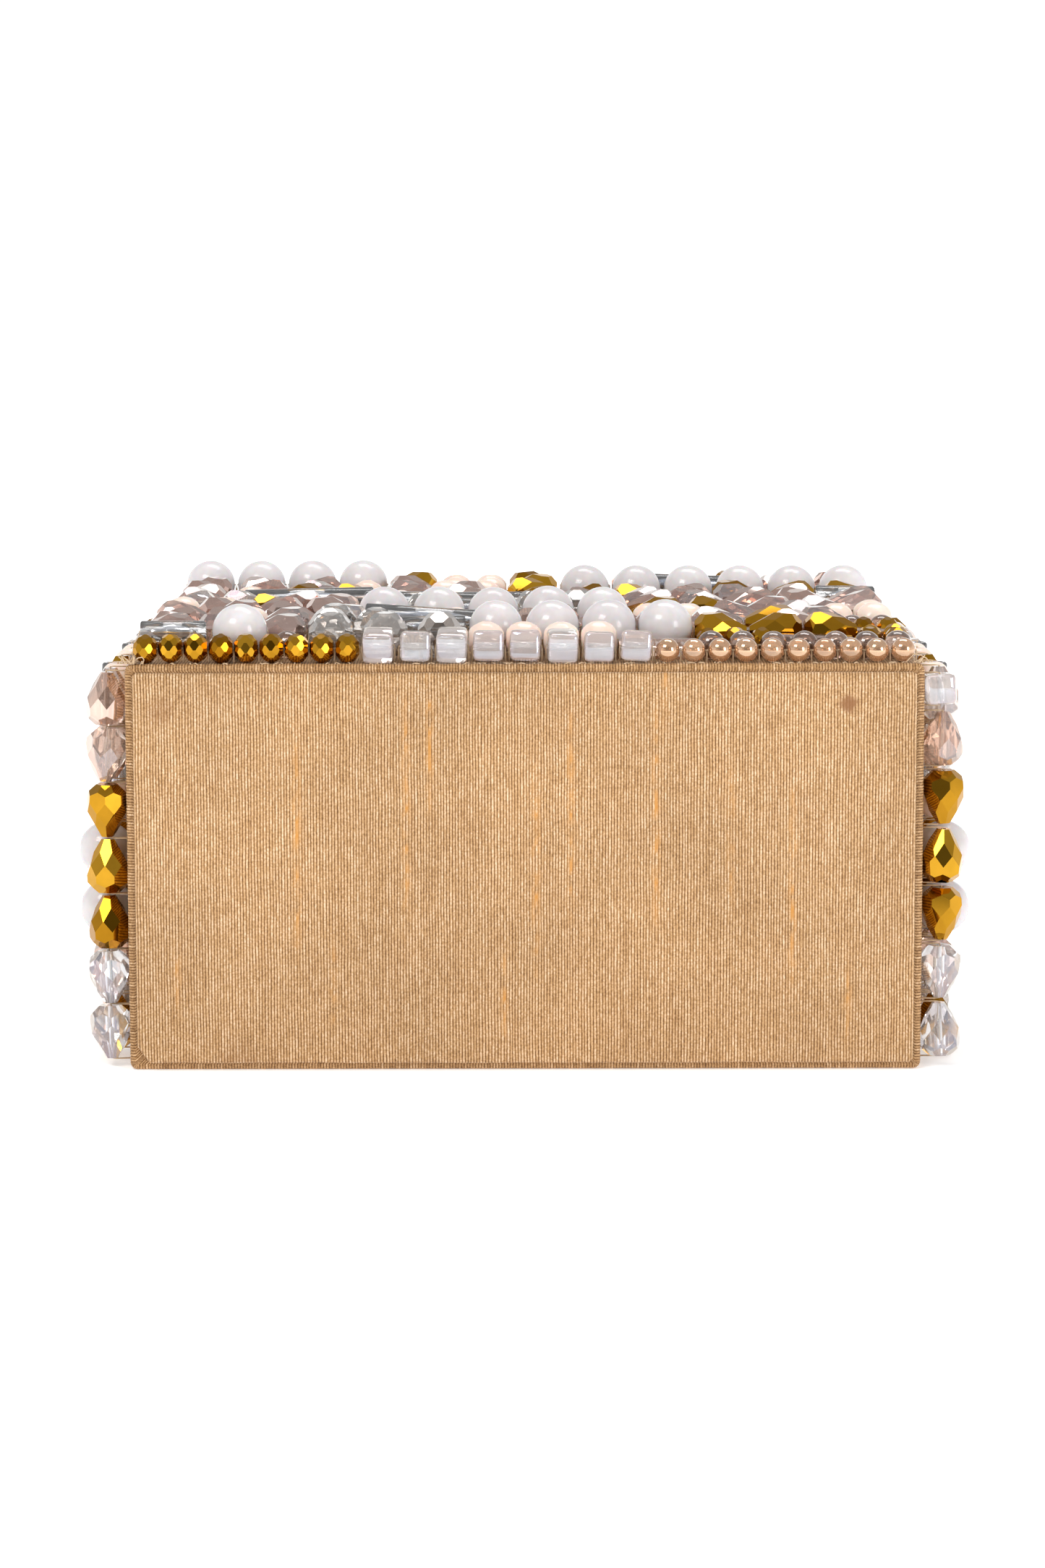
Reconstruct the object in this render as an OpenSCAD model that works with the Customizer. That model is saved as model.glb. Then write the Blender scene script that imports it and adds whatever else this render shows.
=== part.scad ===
// Beaded evening bag: a rigid board box, covered in ribbed silk and encrusted with glass beads
// on its front and two sides, with a lid hinged on the back wall and a folding bail handle.
//
// The bag lies on its back. X runs across its width, Y from the base to the lid, and Z from the
// back to the front. The origin is the centre of the back face, which rests on Z = 0.

/* [Box] */
// Width across the silk of the two sides
bag_w = 165; // [163:0.5:172]
// Depth from the back silk to the front silk
bag_d = 85; // [83:0.5:88]
// Height from the base to the top edge of the back wall
bag_h = 145; // [145:1:154]

/* [Walls] */
// Thickness of the grey board in the walls, base and lid
board = 2.4; // [2:0.1:2.6]
// Thickness of the silk with its glue
silk = 0.5; // [0.4:0.05:0.6]
// Thickness of the satin lining
lining_t = 0.5; // [0.4:0.05:0.6]
// Radius of the silk where it turns a corner of the box
edge_r = 1.6; // [1:0.1:2]

/* [Base panel] */
// How far the base panel stops short of the box's sides
panel_inset = 1.7; // [1:0.1:2.5]
// Thickness of the card inside the base panel
card = 1.1; // [0.8:0.1:1.5]
// How far the base panel's back left corner is cut off across its width
corner_cut = 2.6; // [0:0.1:4]

/* [Hinge] */
// Outside radius of the hinge knuckles
knuckle_r = 1.6; // [1.4:0.1:1.7]
// Radius of the hinge pin
pin_r = 0.8; // [0.6:0.05:0.9]
// Width of each hinge leaf
leaf_w = 12; // [10:0.5:13]
// Number of knuckles, which is odd
knuckles = 11; // [7:2:15]

/* [Handle] */
// Distance of each lug from the middle of the lid
lug_x = 40; // [36:1:44]
// Radius of the rod that the handle is bent from
rod_r = 2.4; // [2:0.1:2.6]
// Reach of the handle from its pivots to the middle of its grip
reach = 35; // [32:0.5:36]
// Radius of the bend at each end of the grip
bend_r = 13; // [10:1:16]

/* [Beads] */
// Diameter of the large milky round beads
pearl = 11.6; // [11:0.1:11.8]
// Length of the faceted drops
drop_l = 11.3; // [10.5:0.1:11.4]
// Diameter of the faceted drops
drop_d = 8; // [7:0.1:8.2]

/* [Hidden] */
$fn = 48;

eps = 0.01;
half_w = bag_w / 2;
wall = silk + board + lining_t;
y_base = -bag_h / 2;
y_top = bag_h / 2;
y_hem = y_base + silk + card;
y_board = y_hem + silk;

// The lid closes on the front and side walls, in front of the back wall's top edge.
lid_t = silk + board + lining_t;
lid_gap = 0.3;
y_lid_top = y_top - 0.2;
y_lid = y_lid_top - lid_t;
y_rim = y_lid - lid_gap;

// Hinge axis, parallel to X.
leaf_t = 0.7;
hinge_z = wall + 0.1 + knuckle_r;
hinge_y = y_top - knuckle_r;
hinge_play = 0.05;
knuckle_gap = 0.2;
knuckle_len = floor(10 * (bag_w - 2) / knuckles) / 10;
hinge_len = knuckles * knuckle_len;
leaf_half = (hinge_len - knuckle_gap) / 2;
leaf_inside = half_w - wall - 0.25;
z_lid = hinge_z + knuckle_r + 0.25;
leaf_step = 0.1;
leaf_root = 0.4;
leaf_z = hinge_z - knuckle_r + leaf_step;
leaf_y = hinge_y - knuckle_r + leaf_step;
leaf_room = leaf_y + leaf_t + 0.1;
rivet_r = 1;
rivet_head_r = 2;
rivet_head_t = 0.6;
rivet_clear = 0.05;
rivet_x = [-64, -32, 0, 32, 64];
rivet_in = 8;
pad_t = 2;
pad_clear = 0.9;
leaf_end = hinge_z + leaf_w;

// Magnets sit in notches in the boards.
magnet_x = 42;
magnet_w = 16;
magnet_h = 4;
magnet_play = 0.1;
z_lid_magnet = bag_d - silk - 3.4;

// Handle pivot, parallel to X.
flange_r = 6.5;
flange_t = 1.2;
post_r = 4;
pivot_r = 1.5;
pivot_play = 0.05;
z_pivot = (z_lid + bag_d) / 2;
y_pivot = y_lid_top + 5;
knob_r = rod_r + 0.7;
leg_x = lug_x + post_r + 0.4 + knob_r;
screw_r = 1.25;
screw_head_r = 2.6;
screw_head_t = 1.2;
screw_len = 5;

// Bead sizes: the length that a bead takes along its row, and its width across the row.
cube_s = 6.5;
rondelle_d = 5.9;
rondelle_l = 4.9;
amber_d = 5.1;
smoke_d = 6;
peach_d = 7.7;
crystal_d = 9.4;
crystal_l = 9.2;
bugle_d = 4.6;
bugle_l = 30;
short_l = 14;
baguette_l = 16;
baguette_d = 5;
// The long tubes are strung across the shoulders of the larger beads beside them.
bugle_lift = 3.4;
function bead_l(t) =
    t == "rondelle" ? rondelle_l : t == "cube" ? cube_s + 0.8 : t == "amber" ? amber_d :
    t == "smoke" ? smoke_d : t == "pearl" ? pearl : t == "peach" ? peach_d :
    t == "crystal" ? crystal_l : t == "bugle" ? bugle_l : t == "short" ? short_l :
    t == "baguette" ? baguette_l : drop_l;
function bead_d(t) =
    t == "rondelle" ? rondelle_d : t == "cube" ? cube_s : t == "amber" ? amber_d :
    t == "smoke" ? smoke_d : t == "pearl" ? pearl : t == "peach" ? peach_d :
    t == "crystal" ? crystal_d : t == "bugle" || t == "short" ? bugle_d :
    t == "baguette" ? baguette_d : drop_d;

// The beaded areas, as patches of rows. A patch is [left, right, near, far, rows], with its
// edges as shares of the area's width and height, near being the base. A row is a list of
// [type, count], or of [type, count, way] where way is 1 or -1 for the way that the tips point.
// Without a way, the tips take turns.
edge_row = 0.048;
front_patches = [
    [0, 1, 0, edge_row, [[["rondelle", 9], ["cube", 8], ["amber", 10]]]],
    [0, 0.216, edge_row, 0.36, [
        [["short", 1], ["pearl", 1], ["smoke", 1]],
        [["champagne", 3]],
        [["champagne", 2], ["smoke", 1]],
        [["champagne", 3]],
        [["smoke", 2], ["peach", 1], ["smoke", 1]]]],
    [0.216, 0.426, edge_row, 0.20, [
        [["crystal", 3]],
        [["crystal", 2], ["short", 1]]]],
    [0.426, 0.72, edge_row, 0.20, [
        [["peach", 4], ["baguette", 1]],
        [["pearl", 4]]]],
    [0.216, 0.72, 0.20, 0.36, [
        [["crystal", 1], ["bugle", 1], ["champagne", 3]],
        [["clear", 2], ["peach", 2], ["champagne", 2], ["peach", 1]]]],
    [0.72, 1, edge_row, 0.36, [
        [["smoke", 7]],
        [["rondelle", 3], ["baguette", 1], ["rondelle", 2]],
        [["gold", 3], ["rondelle", 2]],
        [["baguette", 1], ["champagne", 1], ["baguette", 1]],
        [["champagne", 1], ["gold", 1], ["champagne", 1], ["rondelle", 2]],
        [["smoke", 7]]]],
    [0, 0.273, 0.36, 0.62, [
        [["champagne", 3], ["peach", 1]],
        [["peach", 1], ["champagne", 3]],
        [["peach", 2], ["gold", 1], ["champagne", 1]],
        [["clear", 2], ["champagne", 1], ["peach", 1]]]],
    [0.273, 0.643, 0.36, 0.62, [
        [["pearl", 5]],
        [["crystal", 2], ["short", 1], ["crystal", 2], ["smoke", 1]],
        [["champagne", 2], ["gold", 3]],
        [["bugle", 1], ["short", 1], ["smoke", 2]]]],
    [0.643, 1, 0.36, 0.62, [
        [["peach", 2], ["champagne", 2], ["peach", 2]],
        [["gold", 2], ["champagne", 2], ["peach", 1]],
        [["baguette", 1], ["smoke", 6]],
        [["champagne", 5]]]],
    [0, 0.30, 0.62, 1, [
        [["champagne", 1], ["bugle", 1]],
        [["champagne", 1], ["peach", 1], ["gold", 2]],
        [["champagne", 2], ["clear", 1], ["smoke", 1]],
        [["champagne", 3], ["peach", 1]],
        [["pearl", 4]]]],
    [0.30, 0.55, 0.62, 1, [
        [["peach", 2], ["champagne", 1], ["gold", 1]],
        [["champagne", 2], ["smoke", 2]],
        [["champagne", 2], ["baguette", 1]],
        [["peach", 3], ["gold", 1]],
        [["champagne", 1], ["peach", 2], ["gold", 1]],
        [["gold", 1], ["peach", 2], ["gold", 1]]]],
    [0.55, 1, 0.62, 1, [
        [["champagne", 6]],
        [["gold", 2], ["champagne", 3], ["short", 1]],
        [["baguette", 2], ["gold", 3]],
        [["pearl", 6]],
        [["champagne", 1], ["bugle", 1], ["champagne", 2]],
        [["champagne", 3], ["gold", 1], ["champagne", 2]]]]
];
side_near = 0.068;
side_patches = [
    [0, 1, side_near, 0.36, [
        [["gold", 1], ["champagne", 1], ["pearl", 2], ["peach", 1], ["champagne", 2]],
        [["champagne", 2], ["gold", 2], ["clear", 1], ["champagne", 1], ["peach", 1]],
        [["bugle", 1], ["smoke", 2], ["bugle", 1]],
        [["peach", 2], ["champagne", 2], ["peach", 2], ["gold", 2]],
        [["short", 2], ["smoke", 7]]]],
    [0, 1, 0.36, 0.68, [
        [["champagne", 1], ["pearl", 2], ["champagne", 2], ["pearl", 1], ["peach", 1]],
        [["gold", 2], ["champagne", 3], ["gold", 1], ["peach", 1]],
        [["short", 1], ["smoke", 3], ["champagne", 2], ["short", 1]],
        [["champagne", 2], ["peach", 3], ["clear", 1], ["champagne", 1]],
        [["gold", 1], ["champagne", 2], ["gold", 2], ["champagne", 2]]]],
    [0, 1, 0.68, 1, [
        [["peach", 2], ["gold", 1], ["peach", 2], ["champagne", 2], ["smoke", 1]],
        [["champagne", 2], ["bugle", 1], ["champagne", 2]],
        [["pearl", 1], ["champagne", 2], ["clear", 2], ["pearl", 1], ["peach", 1]],
        [["champagne", 1], ["gold", 1], ["champagne", 3], ["gold", 2]],
        [["clear", 1], ["champagne", 3], ["gold", 1], ["champagne", 1], ["clear", 1]]]]
];
// The row along the base edge differs between the two sides.
left_near = [[0, 1, 0, side_near, [
    [["clear", 2, -1], ["gold", 2, 1], ["gold", 1, -1], ["champagne", 1, -1], ["champagne", 1, 1]]]]];
right_near = [[0, 1, 0, side_near, [
    [["clear", 1, 1], ["clear", 1, -1], ["gold", 1, -1], ["gold", 1, 1], ["gold", 1, -1],
     ["champagne", 1, 1], ["cube", 1]]]]];

// Margins between the beads and the edges of a beaded area.
side_margin = 1.6;
base_margin = 1.6;
rim_margin = 0.6;
area_h = y_rim - rim_margin - y_base - base_margin;
front_span = bag_w - 2 * side_margin;
side_span = bag_d - 2 * side_margin;

// ---- Shapes ----

// The outline of a rectangle with round corners, in X and Z.
function round_rect(x0, z0, x1, z1, r, steps = 6) = [
    for (corner = [[x1 - r, z1 - r, 0], [x0 + r, z1 - r, 90], [x0 + r, z0 + r, 180],
                   [x1 - r, z0 + r, 270]])
    for (k = [0 : steps])
    let (a = corner[2] + 90 * k / steps)
    [corner[0] + r * cos(a), corner[1] + r * sin(a)]
];

// Stretches an outline in X and Z from y0 to y1.
module along_y(y0, y1) {
    translate([0, y1, 0]) rotate([90, 0, 0]) linear_extrude(y1 - y0) children();
}

module box(low, high) {
    translate(low) cube(high - low);
}

// A cylinder along X from x0 to x1, with its axis at y and z.
module rod_x(x0, x1, y, z, r) {
    translate([x0, y, z]) rotate([0, 90, 0]) cylinder(h = x1 - x0, r = r);
}

// The outline of the box, brought in by d on every side.
module box_outline(d) {
    polygon(round_rect(-half_w + d, d, half_w - d, bag_d - d, max(edge_r - d, 0.3)));
}

// The outline of the base panel, brought in by d, with its back left corner cut off.
module panel_outline(d) {
    difference() {
        box_outline(panel_inset + d);
        translate([-half_w + panel_inset, panel_inset])
            polygon([[-1, -1], [corner_cut + d, -1], [corner_cut + d, d], [d, 1.4 * corner_cut + d],
                     [-1, 1.4 * corner_cut + d]]);
    }
}

// The silk round the four walls, between heights z0 and z1.
module wall_silk(z0, z1, y1) {
    intersection() {
        along_y(y_board, y1) difference() {
            box_outline(0);
            box_outline(silk);
        }
        box([-half_w - 1, y_board - 1, z0], [half_w + 1, y1 + 1, z1]);
    }
}

// ---- Base ----

module base_silk() {
    color("#c79a62") difference() {
        along_y(y_base, y_hem) panel_outline(0);
        along_y(y_base + silk, y_hem + 1) panel_outline(silk);
    }
}

module base_card() {
    color("#b8b0a2") along_y(y_base + silk, y_hem) panel_outline(silk);
}

module base_hem() {
    hem_w = 12;
    color("#b98d58") difference() {
        along_y(y_hem, y_board) box_outline(0);
        along_y(y_hem - 1, y_board + 1) box_outline(hem_w);
    }
}

module base_board() {
    inset = silk + board;
    color("#9b9488") box([-half_w + inset, y_board, inset],
                         [half_w - inset, y_board + board, bag_d - inset]);
}

// ---- Walls ----

module magnet_pair(z0, z1, y0, y1, grow) {
    for (side = [-1, 1])
        box([side * magnet_x - magnet_w / 2 - grow, y0, z0],
            [side * magnet_x + magnet_w / 2 + grow, y1, z1]);
}

// The outline of a front or back board, with its outer corners eased like the silk's.
module board_between(z0, z1, y1) {
    intersection() {
        along_y(y_board, y1) box_outline(silk);
        box([-half_w, y_board - 1, z0], [half_w, y1 + 1, z1]);
    }
}

module front_board() {
    color("#9b9488") difference() {
        board_between(bag_d - silk - board, bag_d, y_rim - silk);
        magnet_pair(bag_d - silk - board - 1, bag_d, y_rim - silk - magnet_h, y_rim, magnet_play);
    }
}

module back_board() {
    color("#9b9488") difference() {
        board_between(0, silk + board, y_top - silk);
        for (x = rivet_x) rivet_hole_z(x);
    }
}

module side_board(side) {
    inset = silk + board;
    low = side < 0 ? -half_w + silk : half_w - inset;
    box([low, y_board, inset], [low + board, y_rim - silk, bag_d - inset]);
}

module left_board() {
    color("#9b9488") side_board(-1);
}

module right_board() {
    color("#9b9488") side_board(1);
}

module front_silk() {
    color("#c79a62") wall_silk(bag_d - edge_r, bag_d + 1, y_rim - silk);
}

module back_silk() {
    color("#c79a62") wall_silk(-1, edge_r, y_top - silk);
}

module left_silk() {
    color("#c79a62") box([-half_w, y_board, edge_r],
                         [-half_w + silk, y_rim - silk, bag_d - edge_r]);
}

module right_silk() {
    color("#c79a62") box([half_w - silk, y_board, edge_r],
                         [half_w, y_rim - silk, bag_d - edge_r]);
}

// The silk turned over the top edges of the front and side walls.
module rim_binding() {
    color("#b98d58") difference() {
        along_y(y_rim - silk, y_rim) box_outline(0);
        box([-half_w + wall, y_rim - 5, -1], [half_w - wall, y_rim + 5, bag_d - wall]);
        box([-half_w - 1, y_rim - 5, -1], [half_w + 1, y_rim + 5, silk + board + lining_t]);
    }
}

// The silk turned over the back wall's top edge, down to the ends of the other walls.
module back_rim_binding() {
    color("#b98d58") difference() {
        intersection() {
            along_y(y_rim - silk, y_top) box_outline(0);
            box([-half_w, y_rim - 1, 0], [half_w, y_top, wall]);
        }
        box([-half_w - 1, y_rim - 1, -1], [half_w + 1, y_top - silk, edge_r]);
        box([-half_w + silk, y_rim - 1, 0], [half_w - silk, y_top - silk, silk + board]);
    }
}

// ---- Inside ----

module lining() {
    out = silk + board;
    color("#e6d3b3") difference() {
        box([-half_w + out, y_board + board, out], [half_w - out, y_rim - silk, bag_d - out]);
        box([-half_w + wall, y_board + board + lining_t, wall],
            [half_w - wall, y_rim, bag_d - wall]);
        for (x = rivet_x) rivet_hole_z(x);
    }
}

pocket_w = 96;
pocket_h = 74;
pocket_y = y_base + 34;
pocket_t = 0.6;
pocket_edge = 4;

module slip_pocket() {
    color("#dcc6a2") box([-pocket_w / 2, pocket_y, wall],
                         [pocket_w / 2, pocket_y + pocket_h, wall + pocket_t]);
}

module pocket_binding() {
    color("#c79a62") box([-pocket_w / 2, pocket_y + pocket_h, wall],
                         [pocket_w / 2, pocket_y + pocket_h + pocket_edge, wall + pocket_t + 0.3]);
}

module wall_magnets() {
    color("#b9bcc2") magnet_pair(bag_d - silk - board, bag_d - silk, y_rim - silk - magnet_h,
                                 y_rim - silk, 0);
}

// ---- Hinge ----

// A rivet's hole through the back wall.
module rivet_hole_z(x) {
    translate([x, hinge_y - rivet_in, 0.2]) cylinder(h = wall + 3, r = rivet_r + rivet_clear);
}

// A rivet's hole through the lid.
module rivet_hole_y(x) {
    translate([x, hinge_y - knuckle_r - 2, hinge_z + rivet_in]) rotate([-90, 0, 0])
        cylinder(h = 4.2, r = rivet_r + rivet_clear);
}

// The knuckles whose number leaves this remainder when halved.
module knuckle_set(odd) {
    for (k = [odd : 2 : knuckles - 1])
        rod_x(-hinge_len / 2 + k * knuckle_len + knuckle_gap / 2,
              -hinge_len / 2 + (k + 1) * knuckle_len - knuckle_gap / 2,
              hinge_y, hinge_z, knuckle_r);
}

// Room in one leaf for the other leaf's knuckles.
module knuckle_gaps(odd) {
    for (k = [odd : 2 : knuckles - 1])
        box([-hinge_len / 2 + k * knuckle_len - knuckle_gap / 2, hinge_y - knuckle_r - 0.2,
             hinge_z - knuckle_r - 0.2],
            [-hinge_len / 2 + (k + 1) * knuckle_len + knuckle_gap / 2, hinge_y + knuckle_r + 0.2,
             hinge_z + knuckle_r + 0.2]);
}

module pin_bore() {
    rod_x(-half_w, half_w, hinge_y, hinge_z, pin_r + hinge_play);
}

module hinge_body_leaf() {
    color("#d4ab52") difference() {
        union() {
            knuckle_set(0);
            difference() {
                box([-leaf_half, y_rim + 0.2, leaf_z],
                    [leaf_half, hinge_y - leaf_root, leaf_z + leaf_t]);
                knuckle_gaps(1);
            }
            box([-leaf_inside, hinge_y - leaf_w, leaf_z],
                [leaf_inside, y_rim + 0.2 + eps, leaf_z + leaf_t]);
        }
        pin_bore();
        for (x = rivet_x) rivet_hole_z(x);
    }
}

module hinge_lid_leaf() {
    color("#d4ab52") difference() {
        union() {
            knuckle_set(1);
            difference() {
                box([-leaf_half, leaf_y, hinge_z + leaf_root],
                    [leaf_half, leaf_y + leaf_t, leaf_end]);
                knuckle_gaps(0);
            }
        }
        pin_bore();
        for (x = rivet_x) rivet_hole_y(x);
    }
}

module hinge_pin() {
    color("#c9a24b") rod_x(-hinge_len / 2, hinge_len / 2, hinge_y, hinge_z, pin_r);
}

module hinge_body_rivets() {
    z1 = leaf_z + leaf_t;
    color("#c9a24b") for (x = rivet_x) translate([x, hinge_y - rivet_in, 0]) {
        translate([0, 0, silk]) cylinder(h = z1 - silk + eps, r = rivet_r);
        translate([0, 0, z1]) cylinder(h = rivet_head_t, r1 = rivet_head_r, r2 = rivet_r);
    }
}

module hinge_lid_rivets() {
    color("#c9a24b") for (x = rivet_x) translate([x, leaf_y, hinge_z + rivet_in]) rotate([-90, 0, 0]) {
        cylinder(h = 2, r = rivet_r);
        translate([0, 0, -rivet_head_t])
            cylinder(h = rivet_head_t, r1 = rivet_r, r2 = rivet_head_r);
    }
}

// ---- Lid ----

// The lid's outline, brought in by d on every side.
module lid_outline(d) {
    polygon(round_rect(-half_w + d, z_lid + d, half_w - d, bag_d - d, max(edge_r - d, 0.3)));
}

module screw_holes(r) {
    for (side = [-1, 1])
        translate([side * lug_x, y_lid - 1, z_pivot]) rotate([-90, 0, 0])
            cylinder(h = lid_t + 2, r = r);
}

module lid_silk() {
    color("#c79a62") difference() {
        along_y(y_lid, y_lid_top) lid_outline(0);
        along_y(y_lid - 1, y_lid_top - silk) lid_outline(silk);
        box([-half_w + silk, y_lid - 1, z_lid - 1],
            [half_w - silk, leaf_room, leaf_end]);
        screw_holes(screw_r + rivet_clear);
    }
}

module lid_board() {
    y1 = y_lid_top - silk;
    color("#9b9488") difference() {
        along_y(y1 - board, y1) lid_outline(silk);
        box([-half_w, y_lid - 1, z_lid - 1],
            [half_w, leaf_room, leaf_end + 0.2]);
        for (x = rivet_x) rivet_hole_y(x);
        magnet_pair(z_lid_magnet, z_lid_magnet + 2.8, y_lid - 1, y_lid + lining_t + 1.6,
                    magnet_play);
        screw_holes(screw_r + rivet_clear);
        for (side = [-1, 1])
            translate([side * lug_x, y_lid - 1, z_pivot]) rotate([-90, 0, 0])
                cylinder(h = 1 + lining_t + screw_head_t + 0.1, r = screw_head_r + 0.1);
    }
}

module lid_lining() {
    color("#e6d3b3") difference() {
        along_y(y_lid, y_lid + lining_t) lid_outline(silk);
        box([-half_w, y_lid - 1, z_lid - 1], [half_w, y_lid_top, leaf_end + 0.2]);
    }
}

module lid_pad() {
    inset = wall + pad_clear;
    color("#efe0c6") along_y(y_lid - pad_t, y_lid)
        polygon(round_rect(-half_w + inset, leaf_end + 1.5, half_w - inset, bag_d - inset, 3));
}

module lid_magnets() {
    color("#b9bcc2") magnet_pair(z_lid_magnet, z_lid_magnet + 2.8, y_lid + lining_t,
                                 y_lid + lining_t + 1.6, 0);
}

// ---- Handle ----

module handle_lugs() {
    color("#d9b262") for (side = [-1, 1]) difference() {
        translate([side * lug_x, y_lid_top, z_pivot]) rotate([-90, 0, 0]) union() {
            cylinder(h = flange_t, r = flange_r);
            cylinder(h = y_pivot - y_lid_top + 3, r = post_r);
        }
        rod_x(side * lug_x - post_r - 1, side * lug_x + post_r + 1, y_pivot, z_pivot,
              pivot_r + pivot_play);
        translate([side * lug_x, y_lid_top - 1, z_pivot]) rotate([-90, 0, 0])
            cylinder(h = 1 + screw_len - lid_t + screw_head_t + 0.2, r = screw_r);
    }
}

module lug_screws() {
    y0 = y_lid + lining_t;
    color("#c2c4c8") for (side = [-1, 1])
        translate([side * lug_x, y0, z_pivot]) rotate([-90, 0, 0]) {
            cylinder(h = screw_head_t, r = screw_head_r);
            cylinder(h = screw_len - lining_t + screw_head_t - 0.2, r = screw_r);
        }
}

// One half of the handle: a pivot, a leg, a bend and half of the grip. The loop hangs towards
// the back of the bag.
module handle_half() {
    grip_x = leg_x - bend_r;
    z_bend = z_pivot - reach + bend_r;
    rod_x(lug_x - post_r + 0.5, leg_x, y_pivot, z_pivot, pivot_r);
    translate([leg_x, y_pivot, z_pivot]) sphere(r = knob_r);
    translate([leg_x, y_pivot, z_bend]) cylinder(h = z_pivot - z_bend, r = rod_r);
    translate([grip_x, y_pivot, z_bend]) rotate([90, 0, 0]) rotate([0, 0, -90])
        rotate_extrude(angle = 90) translate([bend_r, 0]) circle(r = rod_r);
    rod_x(-eps, grip_x, y_pivot, z_pivot - reach, rod_r);
}

module handle_bail() {
    color("#d9b262") union() {
        handle_half();
        mirror([1, 0, 0]) handle_half();
    }
}

// ---- Beads ----

// A bead's profile is turned about its threading hole.
module turned(points) {
    rotate_extrude() polygon(points);
}

// The drop's round end is at its lower end, and its tip at the top.
module drop() {
    r = drop_d / 2;
    l = drop_l / 2;
    turned([[0, -l], [r * 0.5, -l], [r * 0.87, -l * 0.8], [r, -l * 0.35], [r * 0.9, 0],
            [r * 0.3, l], [0, l]]);
}

module barrel(d, l, end) {
    turned([[0, -l / 2], [d / 2 * end, -l / 2], [d / 2, -l / 6], [d / 2, l / 6],
            [d / 2 * end, l / 2], [0, l / 2]]);
}

// A wedge of cut glass that widens along its length.
module baguette() {
    linear_extrude(baguette_d - 0.8)
        polygon([[-baguette_l / 2, -1.2], [baguette_l / 2, -baguette_d / 2],
                 [baguette_l / 2, baguette_d / 2], [-baguette_l / 2, 1.2]]);
}

// A bead of type t with its row along X, standing on Z = 0. Drops lie with their tips along
// their row, and turn is 1 or -1 for the way that they point.
module bead(t, turn) {
    d = bead_d(t);
    if (t == "pearl" || t == "amber" || t == "smoke" || t == "peach")
        translate([0, 0, d / 2]) sphere(d = d);
    else if (t == "cube")
        translate([-cube_s / 2, -cube_s / 2, 0]) cube(cube_s);
    else if (t == "baguette")
        rotate([0, 0, turn > 0 ? 0 : 180]) baguette();
    else if (t == "bugle" || t == "short")
        translate([0, 0, d / 2 + bugle_lift]) rotate([0, 90, 0])
            cylinder(h = t == "bugle" ? bugle_l : short_l, d = d, center = true);
    else
        translate([0, 0, d / 2]) rotate([0, 90 * turn, 0]) {
            if (t == "rondelle") barrel(d, rondelle_l, 0.66);
            else if (t == "crystal") barrel(d, crystal_l, 0.5);
            else drop();
        }
}

function total(v, k = 0) = k < len(v) ? v[k] + total(v, k + 1) : 0;
function first(v, n) = [for (k = [0 : 1 : n - 1]) v[k]];
function beads_of(row) = [for (group = row) for (k = [1 : 1 : group[1]]) group[0]];
function ways_of(row) = [for (group = row) for (k = [1 : 1 : group[1]]) group[2]];
function row_d(row) = max([for (group = row) bead_d(group[0])]);

// Where the beads of one type go in a row from u0 to u1: [u, index in the row, way].
function row_places(row, type, u0, u1) =
    let (kinds = beads_of(row),
         ways = ways_of(row),
         lengths = [for (t = kinds) bead_l(t)],
         spare = (u1 - u0 - total(lengths)) / len(kinds))
    [for (k = [0 : len(kinds) - 1]) if (kinds[k] == type)
        [u0 + total(first(lengths, k)) + lengths[k] / 2 + spare * (k + 0.5), k, ways[k]]];

// Lays every bead of one type over an area, with u across it and v up from the base.
module bead_area(patches, type, span) {
    for (p = patches) {
        rows = p[4];
        depths = [for (row = rows) row_d(row)];
        v0 = p[2] * area_h;
        v1 = p[3] * area_h;
        spare = (v1 - v0 - total(depths)) / len(rows);
        for (r = [0 : len(rows) - 1])
            for (place = row_places(rows[r], type, p[0] * span, p[1] * span))
                translate([place[0] - span / 2,
                           v0 + total(first(depths, r)) + depths[r] / 2 + spare * (r + 0.5), 0])
                    bead(type, place[2] ? place[2] : (place[1] + r) % 2 == 0 ? 1 : -1);
    }
}

module on_front(type) {
    translate([0, y_base + base_margin, bag_d]) bead_area(front_patches, type, front_span);
}

// On the right side u runs up from the back to the front, and on the left side it is mirrored.
module on_sides(type) {
    for (side = [-1, 1])
        mirror([side < 0 ? 1 : 0, 0, 0])
            translate([half_w, y_base + base_margin, bag_d / 2]) rotate([0, 90, 0])
                mirror([1, 0, 0])
                    bead_area(concat(side < 0 ? left_near : right_near, side_patches), type,
                              side_span);
}

// ---- Nodes ----

base_silk();
base_card();
base_hem();
base_board();
front_board();
back_board();
left_board();
right_board();
front_silk();
back_silk();
left_silk();
right_silk();
rim_binding();
back_rim_binding();
lining();
slip_pocket();
pocket_binding();
wall_magnets();
hinge_body_leaf();
hinge_pin();
hinge_body_rivets();
lid_board();
lid_silk();
lid_lining();
lid_pad();
lid_magnets();
hinge_lid_leaf();
hinge_lid_rivets();
handle_lugs();
lug_screws();
handle_bail();
color("#b8860b") on_front("rondelle");  // front_gold_rondelles
color("#e8e0ea") on_front("cube");  // front_crystal_cubes
color("#d9a66a") on_front("amber");  // front_amber_rounds
color("#8a6a58") on_front("smoke");  // front_smoke_rounds
color("#f0efec") on_front("pearl");  // front_pearls
color("#f4d8c8") on_front("peach");  // front_peach_beads
color("#b5aca3") on_front("crystal");  // front_smoke_crystals
color("#cfae9c") on_front("champagne");  // front_champagne_drops
color("#b8860b") on_front("gold");  // front_gold_drops
color("#e4e6ee") on_front("clear");  // front_clear_drops
color("#9aa2b0") {  // front_silver_bugles
    on_front("bugle");
    on_front("short");
}
color("#c9b8bc") on_front("baguette");  // front_baguettes
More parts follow.
